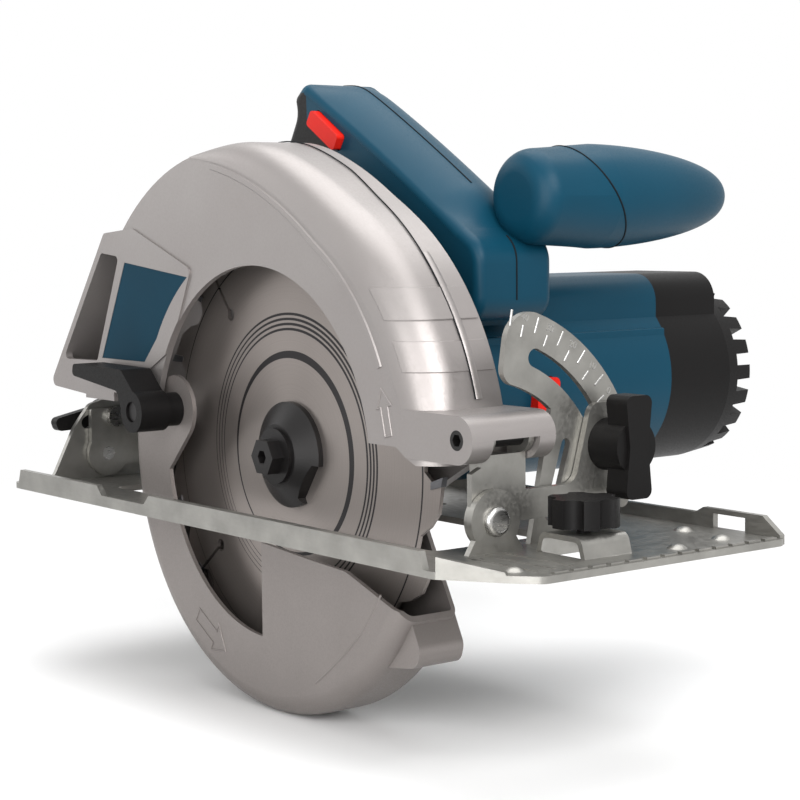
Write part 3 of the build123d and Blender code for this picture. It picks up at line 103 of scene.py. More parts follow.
def add_node(
    tree: bpy.types.NodeTree, kind: str, inputs: dict[Any, Any] | None = None, **settings: Any
) -> bpy.types.Node:
    """Add one node with its settings, and fill or link its inputs.

    Args:
        tree: node tree that gets the node.
        kind: Blender's name of the node type.
        inputs: value or output socket for each input, by name or index.
        settings: properties of the node itself.

    Returns:
        The new node.
    """
    made = tree.nodes.new(kind)
    for name, value in settings.items():
        setattr(made, name, value)
    for key, value in (inputs or {}).items():
        if isinstance(value, Socket):
            tree.links.new(value, made.inputs[key])
        else:
            made.inputs[key].default_value = value
    return made


@dataclass(frozen=True)
class Finish:
    """A surface with clouded colour, varied roughness and a fine grain, all on Object coordinates.

    A coarse noise mixes the shade and the colour. A fine noise moves the roughness up and down by the spread
    and gives the bump. Sizes are in millimetres. The grain of moulded and cast surfaces is drawn at 0.5 mm or
    more, because a finer one would not show in the picture. The slot names the record's material slot for
    this finish; it is not used.
    """

    name: str
    colour: str
    shade: str
    metallic: float = 0.0
    roughness: float = 0.5
    spread: float = 0.08
    cloud_mm: float = 30.0
    grain_mm: float = 0.6
    grain_depth_mm: float = 0.05
    grain_strength: float = 0.25
    stretch: Triple = (1.0, 1.0, 1.0)
    specular: float = 0.5
    slot: str = ""
    cloud_detail: float = 4.0
    grain_detail: float = 2.0
    grain_range: Pair = (0.3, 0.7)

    def build(self) -> bpy.types.Material:
        """Make the material.

        Returns:
            The finished node material.
        """
        material = bpy.data.materials.new(self.name)
        material.use_nodes = True
        tree = material.node_tree
        tree.nodes.clear()
        place = add_node(tree, "ShaderNodeTexCoord").outputs["Object"]
        turned = add_node(tree, "ShaderNodeMapping", {"Vector": place, "Scale": self.stretch})
        colour, roughness, normal = self.pattern(tree, place, turned.outputs["Vector"])
        shader = add_node(
            tree,
            "ShaderNodeBsdfPrincipled",
            {
                "Base Color": colour,
                "Roughness": roughness,
                "Normal": normal,
                "Metallic": self.metallic,
                "Specular IOR Level": self.specular,
            },
        )
        add_node(tree, "ShaderNodeOutputMaterial", {"Surface": shader.outputs["BSDF"]})
        return material

    def pattern(self, tree: bpy.types.NodeTree, place: Socket, turned: Socket) -> Look:
        """Lay out the colour cloud, the roughness and the grain.

        Args:
            tree: the material's nodes.
            place: Object coordinates.
            turned: the same, stretched along the grain.

        Returns:
            Output sockets for colour, roughness and normal.
        """
        cloud = add_node(
            tree,
            "ShaderNodeTexNoise",
            {"Vector": place, "Scale": 1 / (self.cloud_mm * MM), "Detail": self.cloud_detail},
        ).outputs["Fac"]
        grain = add_node(
            tree,
            "ShaderNodeTexNoise",
            {"Vector": turned, "Scale": 1 / (self.grain_mm * MM), "Detail": self.grain_detail},
        ).outputs["Fac"]
        mixed = add_node(
            tree,
            "ShaderNodeMixRGB",
            {"Fac": cloud, "Color1": linear(self.shade), "Color2": linear(self.colour)},
        )
        rough = add_node(
            tree,
            "ShaderNodeMapRange",
            {
                "Value": grain,
                "From Min": self.grain_range[0],
                "From Max": self.grain_range[1],
                "To Min": self.roughness - self.spread,
                "To Max": self.roughness + self.spread,
            },
        )
        bump = add_node(
            tree,
            "ShaderNodeBump",
            {"Height": grain, "Strength": self.grain_strength, "Distance": self.grain_depth_mm * MM},
        )
        return mixed.outputs["Color"], rough.outputs["Result"], bump.outputs["Normal"]


@dataclass(frozen=True)
class GroundBlade(Finish):
    """Blade steel ground in fine rings about the bore, with a few plain printed rings.

    The grinding is noise read along the radius, so it runs in circles. A printed ring, given as its radius
    and full width, is dark where the radius is within a half width of its own, and the half width tapers
    round the blade by the cosine of the angle from its heavy side.
    """

    print_colour: str = "#2c2a2b"
    rings_mm: tuple[Pair, ...] = (
        (39.6, 3.2), (49.6, 1.1), (51.6, 1.1), (53.6, 1.1), (55.6, 1.1), (83.0, 0.9),
    )
    heavy_side_deg: float = 40.0
    taper_from: Pair = (-1.0, 0.8)
    taper_to: Pair = (0.12, 0.5)
    grind_mm: float = 0.5
    grind_detail: float = 3.0
    grind_depth_mm: float = 0.03
    grind_strength: float = 0.12
    brushed: float = 0.8

    def build(self) -> bpy.types.Material:
        """Make the material, with the sheen drawn out round the bore.

        The direction of the grinding at a point is its offset from the bore, turned by a quarter.

        Returns:
            The finished node material.
        """
        material = super().build()
        tree = material.node_tree
        place = add_node(tree, "ShaderNodeTexCoord").outputs["Object"]
        ahead, up = self.from_bore(tree, place)
        back = add_node(tree, "ShaderNodeMath", {0: ahead, 1: -1.0}, operation="MULTIPLY").outputs[0]
        round_bore = add_node(tree, "ShaderNodeCombineXYZ", {"X": up, "Z": back}).outputs[0]
        shader = next(node for node in tree.nodes if node.type == "BSDF_PRINCIPLED")
        shader.inputs["Anisotropic"].default_value = self.brushed
        tree.links.new(round_bore, shader.inputs["Tangent"])
        return material

    def from_bore(self, tree: bpy.types.NodeTree, place: Socket) -> tuple[Socket, Socket]:
        """Split a point's offset from the bore.

        Args:
            tree: the material's nodes.
            place: Object coordinates.

        Returns:
            Output sockets for the offset along x and along z.
        """
        axes = add_node(tree, "ShaderNodeSeparateXYZ", {"Vector": place}).outputs
        up = add_node(tree, "ShaderNodeMath", {0: axes["Z"], 1: HUB_Z * MM}, operation="SUBTRACT")
        return axes["X"], up.outputs[0]

    def pattern(self, tree: bpy.types.NodeTree, place: Socket, turned: Socket) -> Look:
        """Lay out ring grinding and printed rings.

        Args:
            tree: the material's nodes.
            place: Object coordinates.
            turned: the same, stretched along the grain.

        Returns:
            Output sockets for colour, roughness and normal.
        """
        colour, roughness, normal = super().pattern(tree, place, turned)
        ahead, up = self.from_bore(tree, place)
        flat = add_node(tree, "ShaderNodeCombineXYZ", {"X": ahead, "Y": up}).outputs[0]
        radius = add_node(tree, "ShaderNodeVectorMath", {0: flat}, operation="LENGTH").outputs["Value"]
        ground = add_node(
            tree,
            "ShaderNodeTexNoise",
            {"W": radius, "Scale": 1 / (self.grind_mm * MM), "Detail": self.grind_detail},
            noise_dimensions="1D",
        ).outputs["Fac"]
        bright = add_node(
            tree, "ShaderNodeMixRGB", {"Fac": ground, "Color1": linear(self.shade), "Color2": colour}
        ).outputs["Color"]
        ink = self.rings(tree, radius, self.taper(tree, ahead, up))
        printed = add_node(
            tree, "ShaderNodeMixRGB", {"Fac": ink, "Color1": bright, "Color2": linear(self.print_colour)}
        ).outputs["Color"]
        bump = add_node(
            tree,
            "ShaderNodeBump",
            {
                "Height": ground,
                "Strength": self.grind_strength,
                "Distance": self.grind_depth_mm * MM,
                "Normal": normal,
            },
        )
        return printed, roughness, bump.outputs["Normal"]

    def taper(self, tree: bpy.types.NodeTree, ahead: Socket, up: Socket) -> Socket:
        """Share of a printed ring's width that lies on each side of it, by the angle from the heavy side.

        Args:
            tree: the material's nodes.
            ahead: offset from the bore along x.
            up: offset from the bore along z.

        Returns:
            Output socket for the share.
        """
        heavy = math.radians(self.heavy_side_deg)
        angle = add_node(tree, "ShaderNodeMath", {0: up, 1: ahead}, operation="ARCTAN2").outputs[0]
        turned = add_node(tree, "ShaderNodeMath", {0: angle, 1: heavy}, operation="SUBTRACT").outputs[0]
        swing = add_node(tree, "ShaderNodeMath", {0: turned}, operation="COSINE").outputs[0]
        share = add_node(
            tree,
            "ShaderNodeMapRange",
            {
                "Value": swing,
                "From Min": self.taper_from[0],
                "From Max": self.taper_from[1],
                "To Min": self.taper_to[0],
                "To Max": self.taper_to[1],
            },
        )
        return share.outputs["Result"]

    def rings(self, tree: bpy.types.NodeTree, radius: Socket, share: Socket) -> Socket:
        """Mark the printed rings: one inside any of them, and nothing elsewhere.

        Args:
            tree: the material's nodes.
            radius: distance from the bore.
            share: share of a ring's width on each side of it.

        Returns:
            Output socket for the mark.
        """
        marks = []
        for ring, width in self.rings_mm:
            away = add_node(tree, "ShaderNodeMath", {0: radius, 1: ring * MM}, operation="SUBTRACT")
            near = add_node(tree, "ShaderNodeMath", {0: away.outputs[0]}, operation="ABSOLUTE")
            half = add_node(tree, "ShaderNodeMath", {0: share, 1: width * MM}, operation="MULTIPLY")
            compared = {0: near.outputs[0], 1: half.outputs[0]}
            marks.append(add_node(tree, "ShaderNodeMath", compared, operation="LESS_THAN").outputs[0])
        ink = marks[0]
        for mark in marks[1:]:
            ink = add_node(tree, "ShaderNodeMath", {0: ink, 1: mark}, operation="MAXIMUM").outputs[0]
        return ink


@dataclass(frozen=True)
class TwoShotNylon(Finish):
    """Nylon moulded in two colours, parted by a plane that leans across the saw.

    The second colour starts where the height plus a share of the distance across passes a level.
    """

    cap_colour: str = "#083d51"
    lean: float = 0.25
    level_mm: float = 180.0

    def pattern(self, tree: bpy.types.NodeTree, place: Socket, turned: Socket) -> Look:
        """Lay out the first colour's pattern and put the second colour above the parting plane.

        Args:
            tree: the material's nodes.
            place: Object coordinates.
            turned: the same, stretched along the grain.

        Returns:
            Output sockets for colour, roughness and normal.
        """
        colour, roughness, normal = super().pattern(tree, place, turned)
        axes = add_node(tree, "ShaderNodeSeparateXYZ", {"Vector": place}).outputs
        rise = add_node(
            tree, "ShaderNodeMath", {0: axes["Y"], 1: self.lean, 2: axes["Z"]}, operation="MULTIPLY_ADD"
        ).outputs[0]
        above = add_node(
            tree, "ShaderNodeMath", {0: rise, 1: self.level_mm * MM}, operation="GREATER_THAN"
        ).outputs[0]
        mixed = add_node(
            tree, "ShaderNodeMixRGB", {"Fac": above, "Color1": colour, "Color2": linear(self.cap_colour)}
        ).outputs["Color"]
        return mixed, roughness, normal


# Silver lacquer over die-cast aluminium: soft sparkle and a slight orange peel
CAST = Finish(
    "satin_lacquered_die_cast_aluminium", "#94908e", "#888280", metallic=0.65, roughness=0.4, spread=0.06,
    cloud_mm=45.0, grain_mm=0.9, grain_strength=0.3, slot="cast_guard",
)
# Bare die-cast aluminium, blasted: a little rougher, and a little greyer as painted shade for the weaker
# light on the lower guard and bearing bridge
CAST_PAINTED_SHADE = Finish(
    "blasted_die_cast_aluminium_painted_shade", "#857f7c", "#7a7471", metallic=0.6, roughness=0.46, spread=0.07,
    grain_mm=0.7, grain_depth_mm=0.06, grain_strength=0.35, slot="cast_guard",
)
# Glass-filled nylon, moulded with a fine spark-eroded grain: deep blue with a broad, soft sheen
BLUE = Finish(
    "moulded_blue_nylon", "#083d51", "#063446", roughness=0.42, spread=0.06, cloud_mm=50.0, grain_mm=0.7,
    grain_strength=0.22, specular=0.15, slot="blue_plastic",
)
# The same nylon in black: nearly matt, with its form shown by the sheen alone
BLACK = Finish(
    "moulded_black_nylon", "#131212", "#0d0c0c", roughness=0.46, spread=0.07, cloud_mm=40.0, grain_mm=0.7,
    specular=0.12,
)
# Black nylon with a blue cap moulded on: one piece to the touch, two colours to the eye
LEG = TwoShotNylon(
    "two_shot_nylon", "#161515", "#100f0f", spread=0.07, cloud_mm=40.0, grain_mm=0.7, specular=0.18
)
# Unfilled nylon in its grey batch colour: even and dull
GREY = Finish("moulded_grey_nylon", "#6f7073", "#616266", spread=0.06, cloud_mm=40.0, grain_mm=0.7)
# Aluminium plate with a flat blue lacquer: even and darker than the nylon
PLATE = Finish(
    "blue_lacquered_plate", "#0a3445", "#082c3b", roughness=0.45, spread=0.04, cloud_mm=25.0, grain_mm=0.5,
    grain_depth_mm=0.02, grain_strength=0.1, specular=0.06,
)
# Polished mould, bright red ABS: the smoothest of the plastics
RED = Finish(
    "moulded_red_abs", "#dc2318", "#c81f15", roughness=0.38, spread=0.05, cloud_mm=12.0, grain_depth_mm=0.03,
    grain_strength=0.15, specular=0.15,
)
# Soft rubber: black and matt, with hardly any highlight
RUBBER = Finish(
    "moulded_black_rubber", "#171616", "#101010", roughness=0.62, cloud_mm=20.0, grain_strength=0.3,
    specular=0.2,
)
# Zinc on cold-rolled sheet: dull grey with long rolling lines and faint clouds
ZINC = Finish(
    "zinc_plated_sheet_steel", "#a3a19c", "#74736f", metallic=0.85, roughness=0.36, cloud_mm=12.0,
    grain_mm=1.2, grain_depth_mm=0.03, grain_strength=0.2, stretch=(0.25, 1.0, 1.0),
)
# Turned steel: bright, with faint lines from the tool
STEEL = Finish(
    "turned_bright_steel", "#b4b3b1", "#949391", metallic=1.0, roughness=0.28, spread=0.03, cloud_mm=10.0,
    grain_mm=0.8, grain_depth_mm=0.01, grain_strength=0.05, stretch=(1.0, 0.2, 1.0), slot="steel",
)
# Oiled black oxide: dark, with a dim metal sheen
BLACKED = Finish(
    "black_oxide_steel", "#211f1f", "#171616", metallic=0.5, roughness=0.42, spread=0.06, cloud_mm=12.0,
    grain_mm=0.5, grain_depth_mm=0.03, grain_strength=0.2,
)
# Sintered and ground tips: a darker grey than the blade
CARBIDE = Finish(
    "sintered_carbide", "#77777a", "#5f5f62", metallic=0.9, roughness=0.35, spread=0.06, cloud_mm=4.0,
    grain_mm=0.5, grain_depth_mm=0.02, grain_strength=0.2,
)
# Stacked sheets: thin lines where one lies on the next
STACK = Finish(
    "laminated_core_steel", "#6c6c6e", "#525254", metallic=0.9, roughness=0.4, spread=0.06, cloud_mm=10.0,
    grain_mm=0.5, grain_strength=0.5, stretch=(1.0, 6.0, 1.0),
)
# Wound wire under clear enamel: red-brown, with fine ribs across
COPPER = Finish(
    "enamelled_copper", "#b5652f", "#8d4a22", metallic=0.9, roughness=0.32, spread=0.06, cloud_mm=6.0,
    grain_depth_mm=0.06, grain_strength=0.5, stretch=(3.0, 1.0, 1.0),
)
# Pressed carbon: dark grey and dusty
CARBON = Finish(
    "pressed_carbon", "#2f2f30", "#232324", metallic=0.2, roughness=0.55, spread=0.06, cloud_mm=6.0,
    grain_mm=0.5, grain_depth_mm=0.03, grain_strength=0.3,
)
# Painted shade: a dark colour standing in for the shadow in the narrow gap of a parting line
SHADOW = Finish(
    "parting_line_shadow", "#14181b", "#0f1214", roughness=0.7, spread=0.05, cloud_mm=10.0, grain_mm=0.5,
    grain_depth_mm=0.02, grain_strength=0.1, specular=0.1,
)
# Ring-ground steel: a sheen that fans out from the bore
BLADE = GroundBlade(
    "ring_ground_blade_steel", "#9c948f", "#87807c", metallic=0.75, roughness=0.36, spread=0.05,
    cloud_mm=60.0, grain_depth_mm=0.02, grain_strength=0.1,
)

DRESS: dict[Finish, tuple[str, ...]] = {
    CAST: ("upper_guard",),
    # The lower guard and bearing bridge wear the cast finish darkened as painted shade
    CAST_PAINTED_SHADE: ("lower_guard", "bearing_bridge"),
    PLATE: ("duct_plate",),
    BLUE: ("motor_housing", "handle_near", "handle_far", "front_grip"),
    BLACK: (
        "motor_end_cap", "guard_lever", "trigger", "switch_body", "depth_lever", "bevel_knob",
        "rear_lever", "guide_clamp",
    ),
    LEG: ("rear_leg",),
    GREY: ("cooling_fan",),
    RED: ("lock_off", "shaft_lock"),
    RUBBER: ("cord_bush",),
    ZINC: ("base_plate", "tilt_bracket", "depth_arm"),
    STEEL: (
        "bearing_cover", "cover_screws", "spindle", "spindle_gear", "armature_shaft",
        "spindle_front_bearing", "spindle_rear_bearing", "motor_front_bearing", "motor_rear_bearing",
        "handle_screws", "depth_bolt", "bevel_rivets", "bevel_bolt", "rear_bevel_bolt",
    ),
    BLACKED: ("inner_flange", "outer_flange", "blade_bolt", "depth_pin", "guard_lever_screw"),
    CARBIDE: ("carbide_tips",),
    STACK: ("armature_core", "stator_core"),
    COPPER: ("armature_windings", "commutator", "field_coils", "brush_holders"),
    CARBON: ("carbon_brushes",),
    BLADE: ("saw_blade",),
}


def skin(name: str, loops: np.ndarray, closed: bool = False) -> bpy.types.Object:
    """Skin a row of closed loops into one closed surface.

    Point (i, j) is joined to its next neighbour along the row and round the loop. The row's two ends get
    flat caps, unless the row itself closes.

    Args:
        name: name of the piece.
        loops: points in millimetres, as row, place round the loop, coordinate.
        closed: whether the last loop joins the first.

    Returns:
        The new object, at the origin.
    """
    count, around = loops.shape[:2]
    index = np.arange(count * around).reshape(count, around)
    row = np.concatenate((index, index[:1])) if closed else index
    turn = np.roll(row, -1, axis=1)
    quads = np.stack((row[:-1], turn[:-1], turn[1:], row[1:]), axis=-1).reshape(-1, 4)
    faces = quads.tolist() + ([] if closed else [index[0, ::-1].tolist(), index[-1].tolist()])
    mesh = bpy.data.meshes.new(name)
    mesh.from_pydata((loops.reshape(-1, 3) * MM).tolist(), [], faces)
    return settle(name, mesh)


def settle(name: str, mesh: bpy.types.Mesh) -> bpy.types.Object:
    """Merge a mesh's doubles, turn its faces outward, shade it smooth between sharp edges and link it.

    Args:
        name: name of the piece.
        mesh: finished mesh, in metres.

    Returns:
        The new object, at the origin.
    """
    work = bmesh.new()
    work.from_mesh(mesh)
    bmesh.ops.remove_doubles(work, verts=work.verts, dist=MERGE_M)
    bmesh.ops.recalc_face_normals(work, faces=work.faces)
    work.to_mesh(mesh)
    work.free()
    mesh.polygons.foreach_set("use_smooth", np.ones(len(mesh.polygons), dtype=bool))
    mesh.set_sharp_from_angle(angle=math.radians(SHARP_DEG))
    piece = bpy.data.objects.new(name, mesh)
    bpy.context.collection.objects.link(piece)
    return piece


def bead(
    name: str, path: np.ndarray, outward: np.ndarray, profile: Row, closed: bool = False
) -> bpy.types.Object:
    """Carry a closed profile along a path that lies on a surface.

    Across each point runs the cross product of the surface's normal and the path's direction. At a corner the
    two directions are mitred: their sum is divided by one plus their product, so the width stays the same.

    Args:
        name: name of the piece.
        path: points in millimetres.
        outward: the surface's unit normal at each point.
        profile: closed outline as (across, lift) pairs in millimetres.
        closed: whether the path ends where it starts.

    Returns:
        The new object.
    """
    step = np.roll(path, -1, axis=0) - path
    if not closed:
        step[-1] = step[-2]
    step /= np.linalg.norm(step, axis=1, keepdims=True)
    before = np.roll(step, 1, axis=0)
    if not closed:
        before[0] = step[0]
    first, second = np.cross(outward, before), np.cross(outward, step)
    across = (first + second) / (1.0 + np.sum(first * second, axis=1, keepdims=True))
    wide, high = np.array(profile).T
    loops = path[:, None] + wide[None, :, None] * across[:, None] + high[None, :, None] * outward[:, None]
    return skin(name, loops, closed)


def raised(width: float, height: float, edge: float = 0.25, sink: float = 0.4) -> Row:
    """Profile of a flat-topped bead with bevelled edges, sunk a little into its ground."""
    half = width / 2
    top = half - edge
    return [(-half, -sink), (-half, 0.0), (-top, height), (top, height), (half, 0.0), (half, -sink)]


def round_line(radius: float, corners: int = 12) -> Row:
    """Profile of a round line whose middle lies on its ground."""
    turn = np.linspace(0.0, 2 * np.pi, corners, endpoint=False)
    return list(zip((radius * np.cos(turn)).tolist(), (radius * np.sin(turn)).tolist()))


def ramp(value: np.ndarray, start: float, end: float) -> np.ndarray:
    """Share of the way from a start to an end, held between nothing and one."""
    return np.clip((value - start) / (end - start), 0.0, 1.0)


def about_hub(radius: np.ndarray, angle: np.ndarray) -> np.ndarray:
    """Points (x, z) at a radius and an angle about the blade axis."""
    return np.column_stack((radius * np.cos(angle), HUB_Z + radius * np.sin(angle)))


def on_side(flat: np.ndarray, y: float) -> tuple[np.ndarray, np.ndarray]:
    """Put (x, z) points on an upright near face at a given y, with the face's normal at each."""
    return np.insert(flat, 1, y, axis=1), np.tile((0.0, -1.0, 0.0), (len(flat), 1))


@dataclass(frozen=True)
class Arrow:
    """Block arrow from the middle of its blunt end to its tip, with the widths of shaft and head.

    The neck is the length of the head.
    """

    tail: Pair
    tip: Pair
    shaft: float
    head: float
    neck: float

    def outline(self) -> np.ndarray:
        """Outline (x, z): lengths along the arrow and half widths to its side, as steps from the tail.

        Returns:
            Seven corner points.
        """
        start, end = np.array(self.tail), np.array(self.tip)
        length = np.linalg.norm(end - start)
        along = (end - start) / length
        side = np.array((-along[1], along[0]))
        back = length - self.neck
        one_side = [(0, self.shaft), (back, self.shaft), (back, self.head)]
        other_side = [(place, -width) for place, width in reversed(one_side)]
        steps = np.array([*one_side, (length, 0), *other_side]) * (1.0, 0.5)
        return start + steps[:, :1] * along + steps[:, 1:] * side


@dataclass
class Saw:
    """The saw's CAD nodes and the finishes they wear."""

    materials: dict[str, bpy.types.Material] = field(default_factory=dict)

    def finish(self, chosen: Finish) -> bpy.types.Material:
        """Look up the material of a finish, which is made once.

        Args:
            chosen: the finish.

        Returns:
            Its material.
        """
        if chosen.name not in self.materials:
            self.materials[chosen.name] = chosen.build()
        return self.materials[chosen.name]

    def dress(self) -> None:
        """Give every CAD node its finish."""
        for chosen, names in DRESS.items():
            for name in names:
                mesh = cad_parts[name].data
                mesh.materials.clear()
                mesh.materials.append(self.finish(chosen))
                LOG.info("dressed %s in %s", name, chosen.name)

    def piece(self, made: bpy.types.Object, chosen: Finish, body: Body) -> None:
        """Give a new piece its finish and the body it rides on.

        Args:
            made: the piece.
            chosen: its finish.
            body: the body that carries it.
        """
        made.data.materials.append(self.finish(chosen))
        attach(made, body.value)
        LOG.info("made %s on %s", made.name, body.value)


@dataclass
class HoodRelief:
    """Cast form of the upper guard's rim: its smooth rounding, two pads, a parting line drawn as a dark bead
    of painted shade, a rib and an arrow.

    A place on the rim is an angle about the blade axis and a length along the section there. The section
    leaves the flat side, turns through a quarter circle and runs back along the outer face. Angles are in
    degrees and sizes in millimetres.
    """

    saw: Saw
    face_y: float = -18.5
    back_y: float = 16.6
    rim_r: float = 110.0
    duct_centre: Pair = (-20.0, 30.0)
    duct_r: float = 115.5
    crossing_soft: float = 1.5
    full_round: float = 16.0
    least_round: float = 0.05
    round_soft: float = 0.6
    crease_centre: Pair = (-60.0, -28.0)
    crease_r: float = 171.5
    first_deg: float = 12.5
    last_deg: float = 110.6
    swell_lift: float = 2.6
    swell_deg: float = 96.0
    swell_spread_deg: float = 13.0
    swell_fade_deg: float = 97.0
    skin_lift: float = 0.2
    skin_wall: float = 1.1
    skin_overlap: float = 0.6
    skin_rows: int = 190
    round_columns: int = 25
    back_shares: Triple = (0.35, 0.7, 1.0)
    pads_z: tuple[Pair, ...] = ((80.6, 93.2), (62.6, 74.6))
    pad_lifts: Pair = (0.5, 0.3)
    pad_start: float = 5.5
    pad_slope: float = 0.8
    pad_margin: float = 2.0
    pad_sink: float = 0.5
    pad_columns: int = 40
    parting_deg: Pair = (15.0, 100.0)
    parting_rows: int = 120
    parting_y: float = 4.4
    parting_shift: float = 5.0
    parting_shift_deg: Pair = (36.0, 76.0)
    parting_shift_power: float = 1.5
    parting_lift: float = 0.4
    parting_r: float = 0.26
    lip_last_deg: float = 47.0
    lip_behind: float = 1.8
    rib_deg: Pair = (104.0, 26.0)
    rib_rows: int = 80
    rib_inset: float = 2.0
    rib_fall: float = 2.0
    rib_fall_deg: Pair = (60.0, 26.0)
    turn_arrow: Arrow = Arrow(tail=(86.0, 40.4), tip=(82.0, 57.0), shaft=4.0, head=8.6, neck=6.5)

    def outline(self, angle: np.ndarray) -> np.ndarray:
        """Outer radius about the blade axis.

        The outline is the larger of the hood's circle and the duct's. Half their sum plus half the root of
        their squared difference and a small square gives that with the crossing rounded off.

        Args:
            angle: angles about the blade axis, in radians.

        Returns:
            A radius for each angle.
        """
        duct = self.reach(angle, self.duct_centre, self.duct_r)
        larger = (self.rim_r + duct + np.sqrt((self.rim_r - duct) ** 2 + self.crossing_soft)) / 2
        return larger + self.skin_lift + self.swell(angle)

    def reach(self, angle: np.ndarray, centre: Pair, radius: float) -> np.ndarray:
        """Distance from the blade axis to a circle.

        The circle's centre is turned into the angle's own direction. That part of it, plus the root of the
        squared radius less the squared part across, is the distance.

        Args:
            angle: angles about the blade axis, in radians.
            centre: the circle's centre (x, z).
            radius: the circle's radius.

        Returns:
            A distance for each angle.
        """
        aside, above = centre[0], centre[1] - HUB_Z
        ahead = aside * np.cos(angle) + above * np.sin(angle)
        return ahead + np.sqrt(radius**2 - aside**2 - above**2 + ahead**2)

    def swell(self, angle: np.ndarray) -> np.ndarray:
        """Extra height of the crown: a bell curve over the angle, brought to nothing where the crease ends.

        Args:
            angle: angles about the blade axis, in radians.

        Returns:
            A height for each angle.
        """
        degrees = np.degrees(angle)
        bell = np.exp(-(((degrees - self.swell_deg) / self.swell_spread_deg) ** 2))
        return self.swell_lift * bell * (1.0 - ramp(degrees, self.swell_fade_deg, self.last_deg) ** 2)

    def rounding(self, angle: np.ndarray) -> np.ndarray:
        """Radius of the quarter circle: from the crease to the outline, and no more than the full rounding.

        Half the sum of the two less half the root of their squared difference and a small square gives the
        smaller one, with the change between them rounded off.

        Args:
            angle: angles about the blade axis, in radians.

        Returns:
            A radius for each angle.
        """
        room = self.outline(angle) - self.reach(angle, self.crease_centre, self.crease_r)
        smaller = (room + self.full_round - np.sqrt((room - self.full_round) ** 2 + self.round_soft)) / 2
        return np.maximum(smaller, self.least_round)

    def rim(self, angle: np.ndarray, along: np.ndarray, lift: np.ndarray | float) -> np.ndarray:
        """Points on the rim.

        The turn is the length over the rounding's radius, held to a quarter. What is left of the length runs
        inward on the flat side before it and back in y after it. The lift is along the section's normal.

        Args:
            angle: angle about the blade axis, in radians.
            along: length along the section from the end of the flat.
            lift: height above the rim.

        Returns:
            Points in millimetres.
        """
        bend = self.rounding(angle)
        turn = np.clip(along / bend, 0.0, QUARTER)
        inward = np.minimum(along, 0.0)
        run = np.maximum(along - bend * np.pi / 2, 0.0)
        radius = self.outline(angle) - bend + inward + (bend + lift) * np.sin(turn)
        y = self.face_y - self.skin_lift / 2 + bend + run - (bend + lift) * np.cos(turn)
        return np.stack((radius * np.cos(angle), y, HUB_Z + radius * np.sin(angle)), axis=-1)

    def skin_rim(self) -> None:
        """Skin the whole rim, so that its rounding runs out smoothly into the flat along the crease."""
        angle = np.radians(np.linspace(self.first_deg, self.last_deg, self.skin_rows))[:, None]
        bend = self.rounding(angle)
        quarter = bend * np.pi / 2
        end = quarter + self.back_y - self.face_y - bend
        share = np.linspace(0.0, 1.0, self.round_columns)[None]
        round_part = -self.skin_overlap + (quarter + self.skin_overlap) * share
        back_part = quarter + (end - quarter) * np.array(self.back_shares)[None]
        along = np.concatenate((round_part, back_part), axis=1)
        lift = np.zeros(along.shape)
        lift[:, 0] = -self.skin_lift
        top = self.rim(angle, along, lift)
        under = self.rim(angle, along, lift - self.skin_wall - self.swell(angle))
        loops = np.concatenate((top, under[:, ::-1]), axis=1)
        self.saw.piece(skin("hood_rim", loops), CAST, Body.SAW)

    def pad(self, name: str, low: float, high: float, rise: float) -> None:
        """Lay one pad round the rim, between two heights, with sloped edges on all four sides.

        A row keeps one height: its angle has the sine of that height over the rim's radius at each place.

        Args:
            name: name of the piece.
            low: height of its lower edge.
            high: height of its upper edge.
            rise: how far it stands out.
        """
        slope, margin = self.pad_slope, self.pad_margin
        first = self.pad_start
        end = self.full_round * np.pi / 2 + self.back_y - self.face_y - self.full_round
        middle = np.linspace(first + margin, end - margin, self.pad_columns)
        along = np.concatenate(([first, first + slope], middle, [end - slope, end]))
        heights = np.array((low, low + slope, (low + high) / 2, high - slope, high))
        inner = np.full((len(heights), len(along)), -self.pad_sink)
        top = inner.copy()
        top[1:-1, 1:-1] = rise
        lift = np.concatenate((top, inner[:, ::-1]), axis=1)
        place = np.tile(np.concatenate((along, along[::-1])), (len(heights), 1))
        turn = np.clip(place / self.full_round, 0.0, QUARTER)
        reach = self.rim_r - self.full_round * (1.0 - np.sin(turn))
        angle = np.arcsin((heights[:, None] - HUB_Z) / reach)
        self.saw.piece(skin(name, self.rim(angle, place, lift)), CAST, Body.SAW)

    def parting(self) -> None:
        """Run the mould's parting line round the outer face as a dark bead of painted shade, with a narrow
        lip behind its lower stretch.
        """
        degrees = np.linspace(*self.parting_deg, self.parting_rows)
        angle = np.radians(degrees)
        shift = ramp(degrees, *self.parting_shift_deg) ** self.parting_shift_power
        y = self.parting_y + self.parting_shift * shift
        path = np.insert(about_hub(self.outline(angle) + self.parting_lift, angle), 1, y, axis=1)
        normal = np.column_stack((np.cos(angle), np.zeros(len(angle)), np.sin(angle)))
        # The parting line is a dark bead: painted shade for the shadow in its gap
        line = bead("hood_parting_line_shade", path, normal, round_line(self.parting_r))
        self.saw.piece(line, SHADOW, Body.SAW)
        low = degrees < self.lip_last_deg
        behind = path[low] + (0.0, self.lip_behind, 0.0)
        profile = raised(width=2.8, height=0.3, edge=0.6, sink=1.0)
        self.saw.piece(bead("hood_parting_lip", behind, normal[low], profile), CAST, Body.SAW)

    def rib(self) -> None:
        """Run a rib along the crease on the flat side, which falls away from it towards its lower end."""
        angle = np.radians(np.linspace(*self.rib_deg, self.rib_rows))
        crease = self.outline(angle) - self.rounding(angle) - self.rib_inset
        fall = ramp(np.degrees(angle), *self.rib_fall_deg)
        path, normal = on_side(about_hub(crease - self.rib_fall * fall, angle), self.face_y)
        profile = raised(width=2.8, height=0.5, edge=0.5)
        self.saw.piece(bead("hood_rib", path, normal, profile), CAST, Body.SAW)

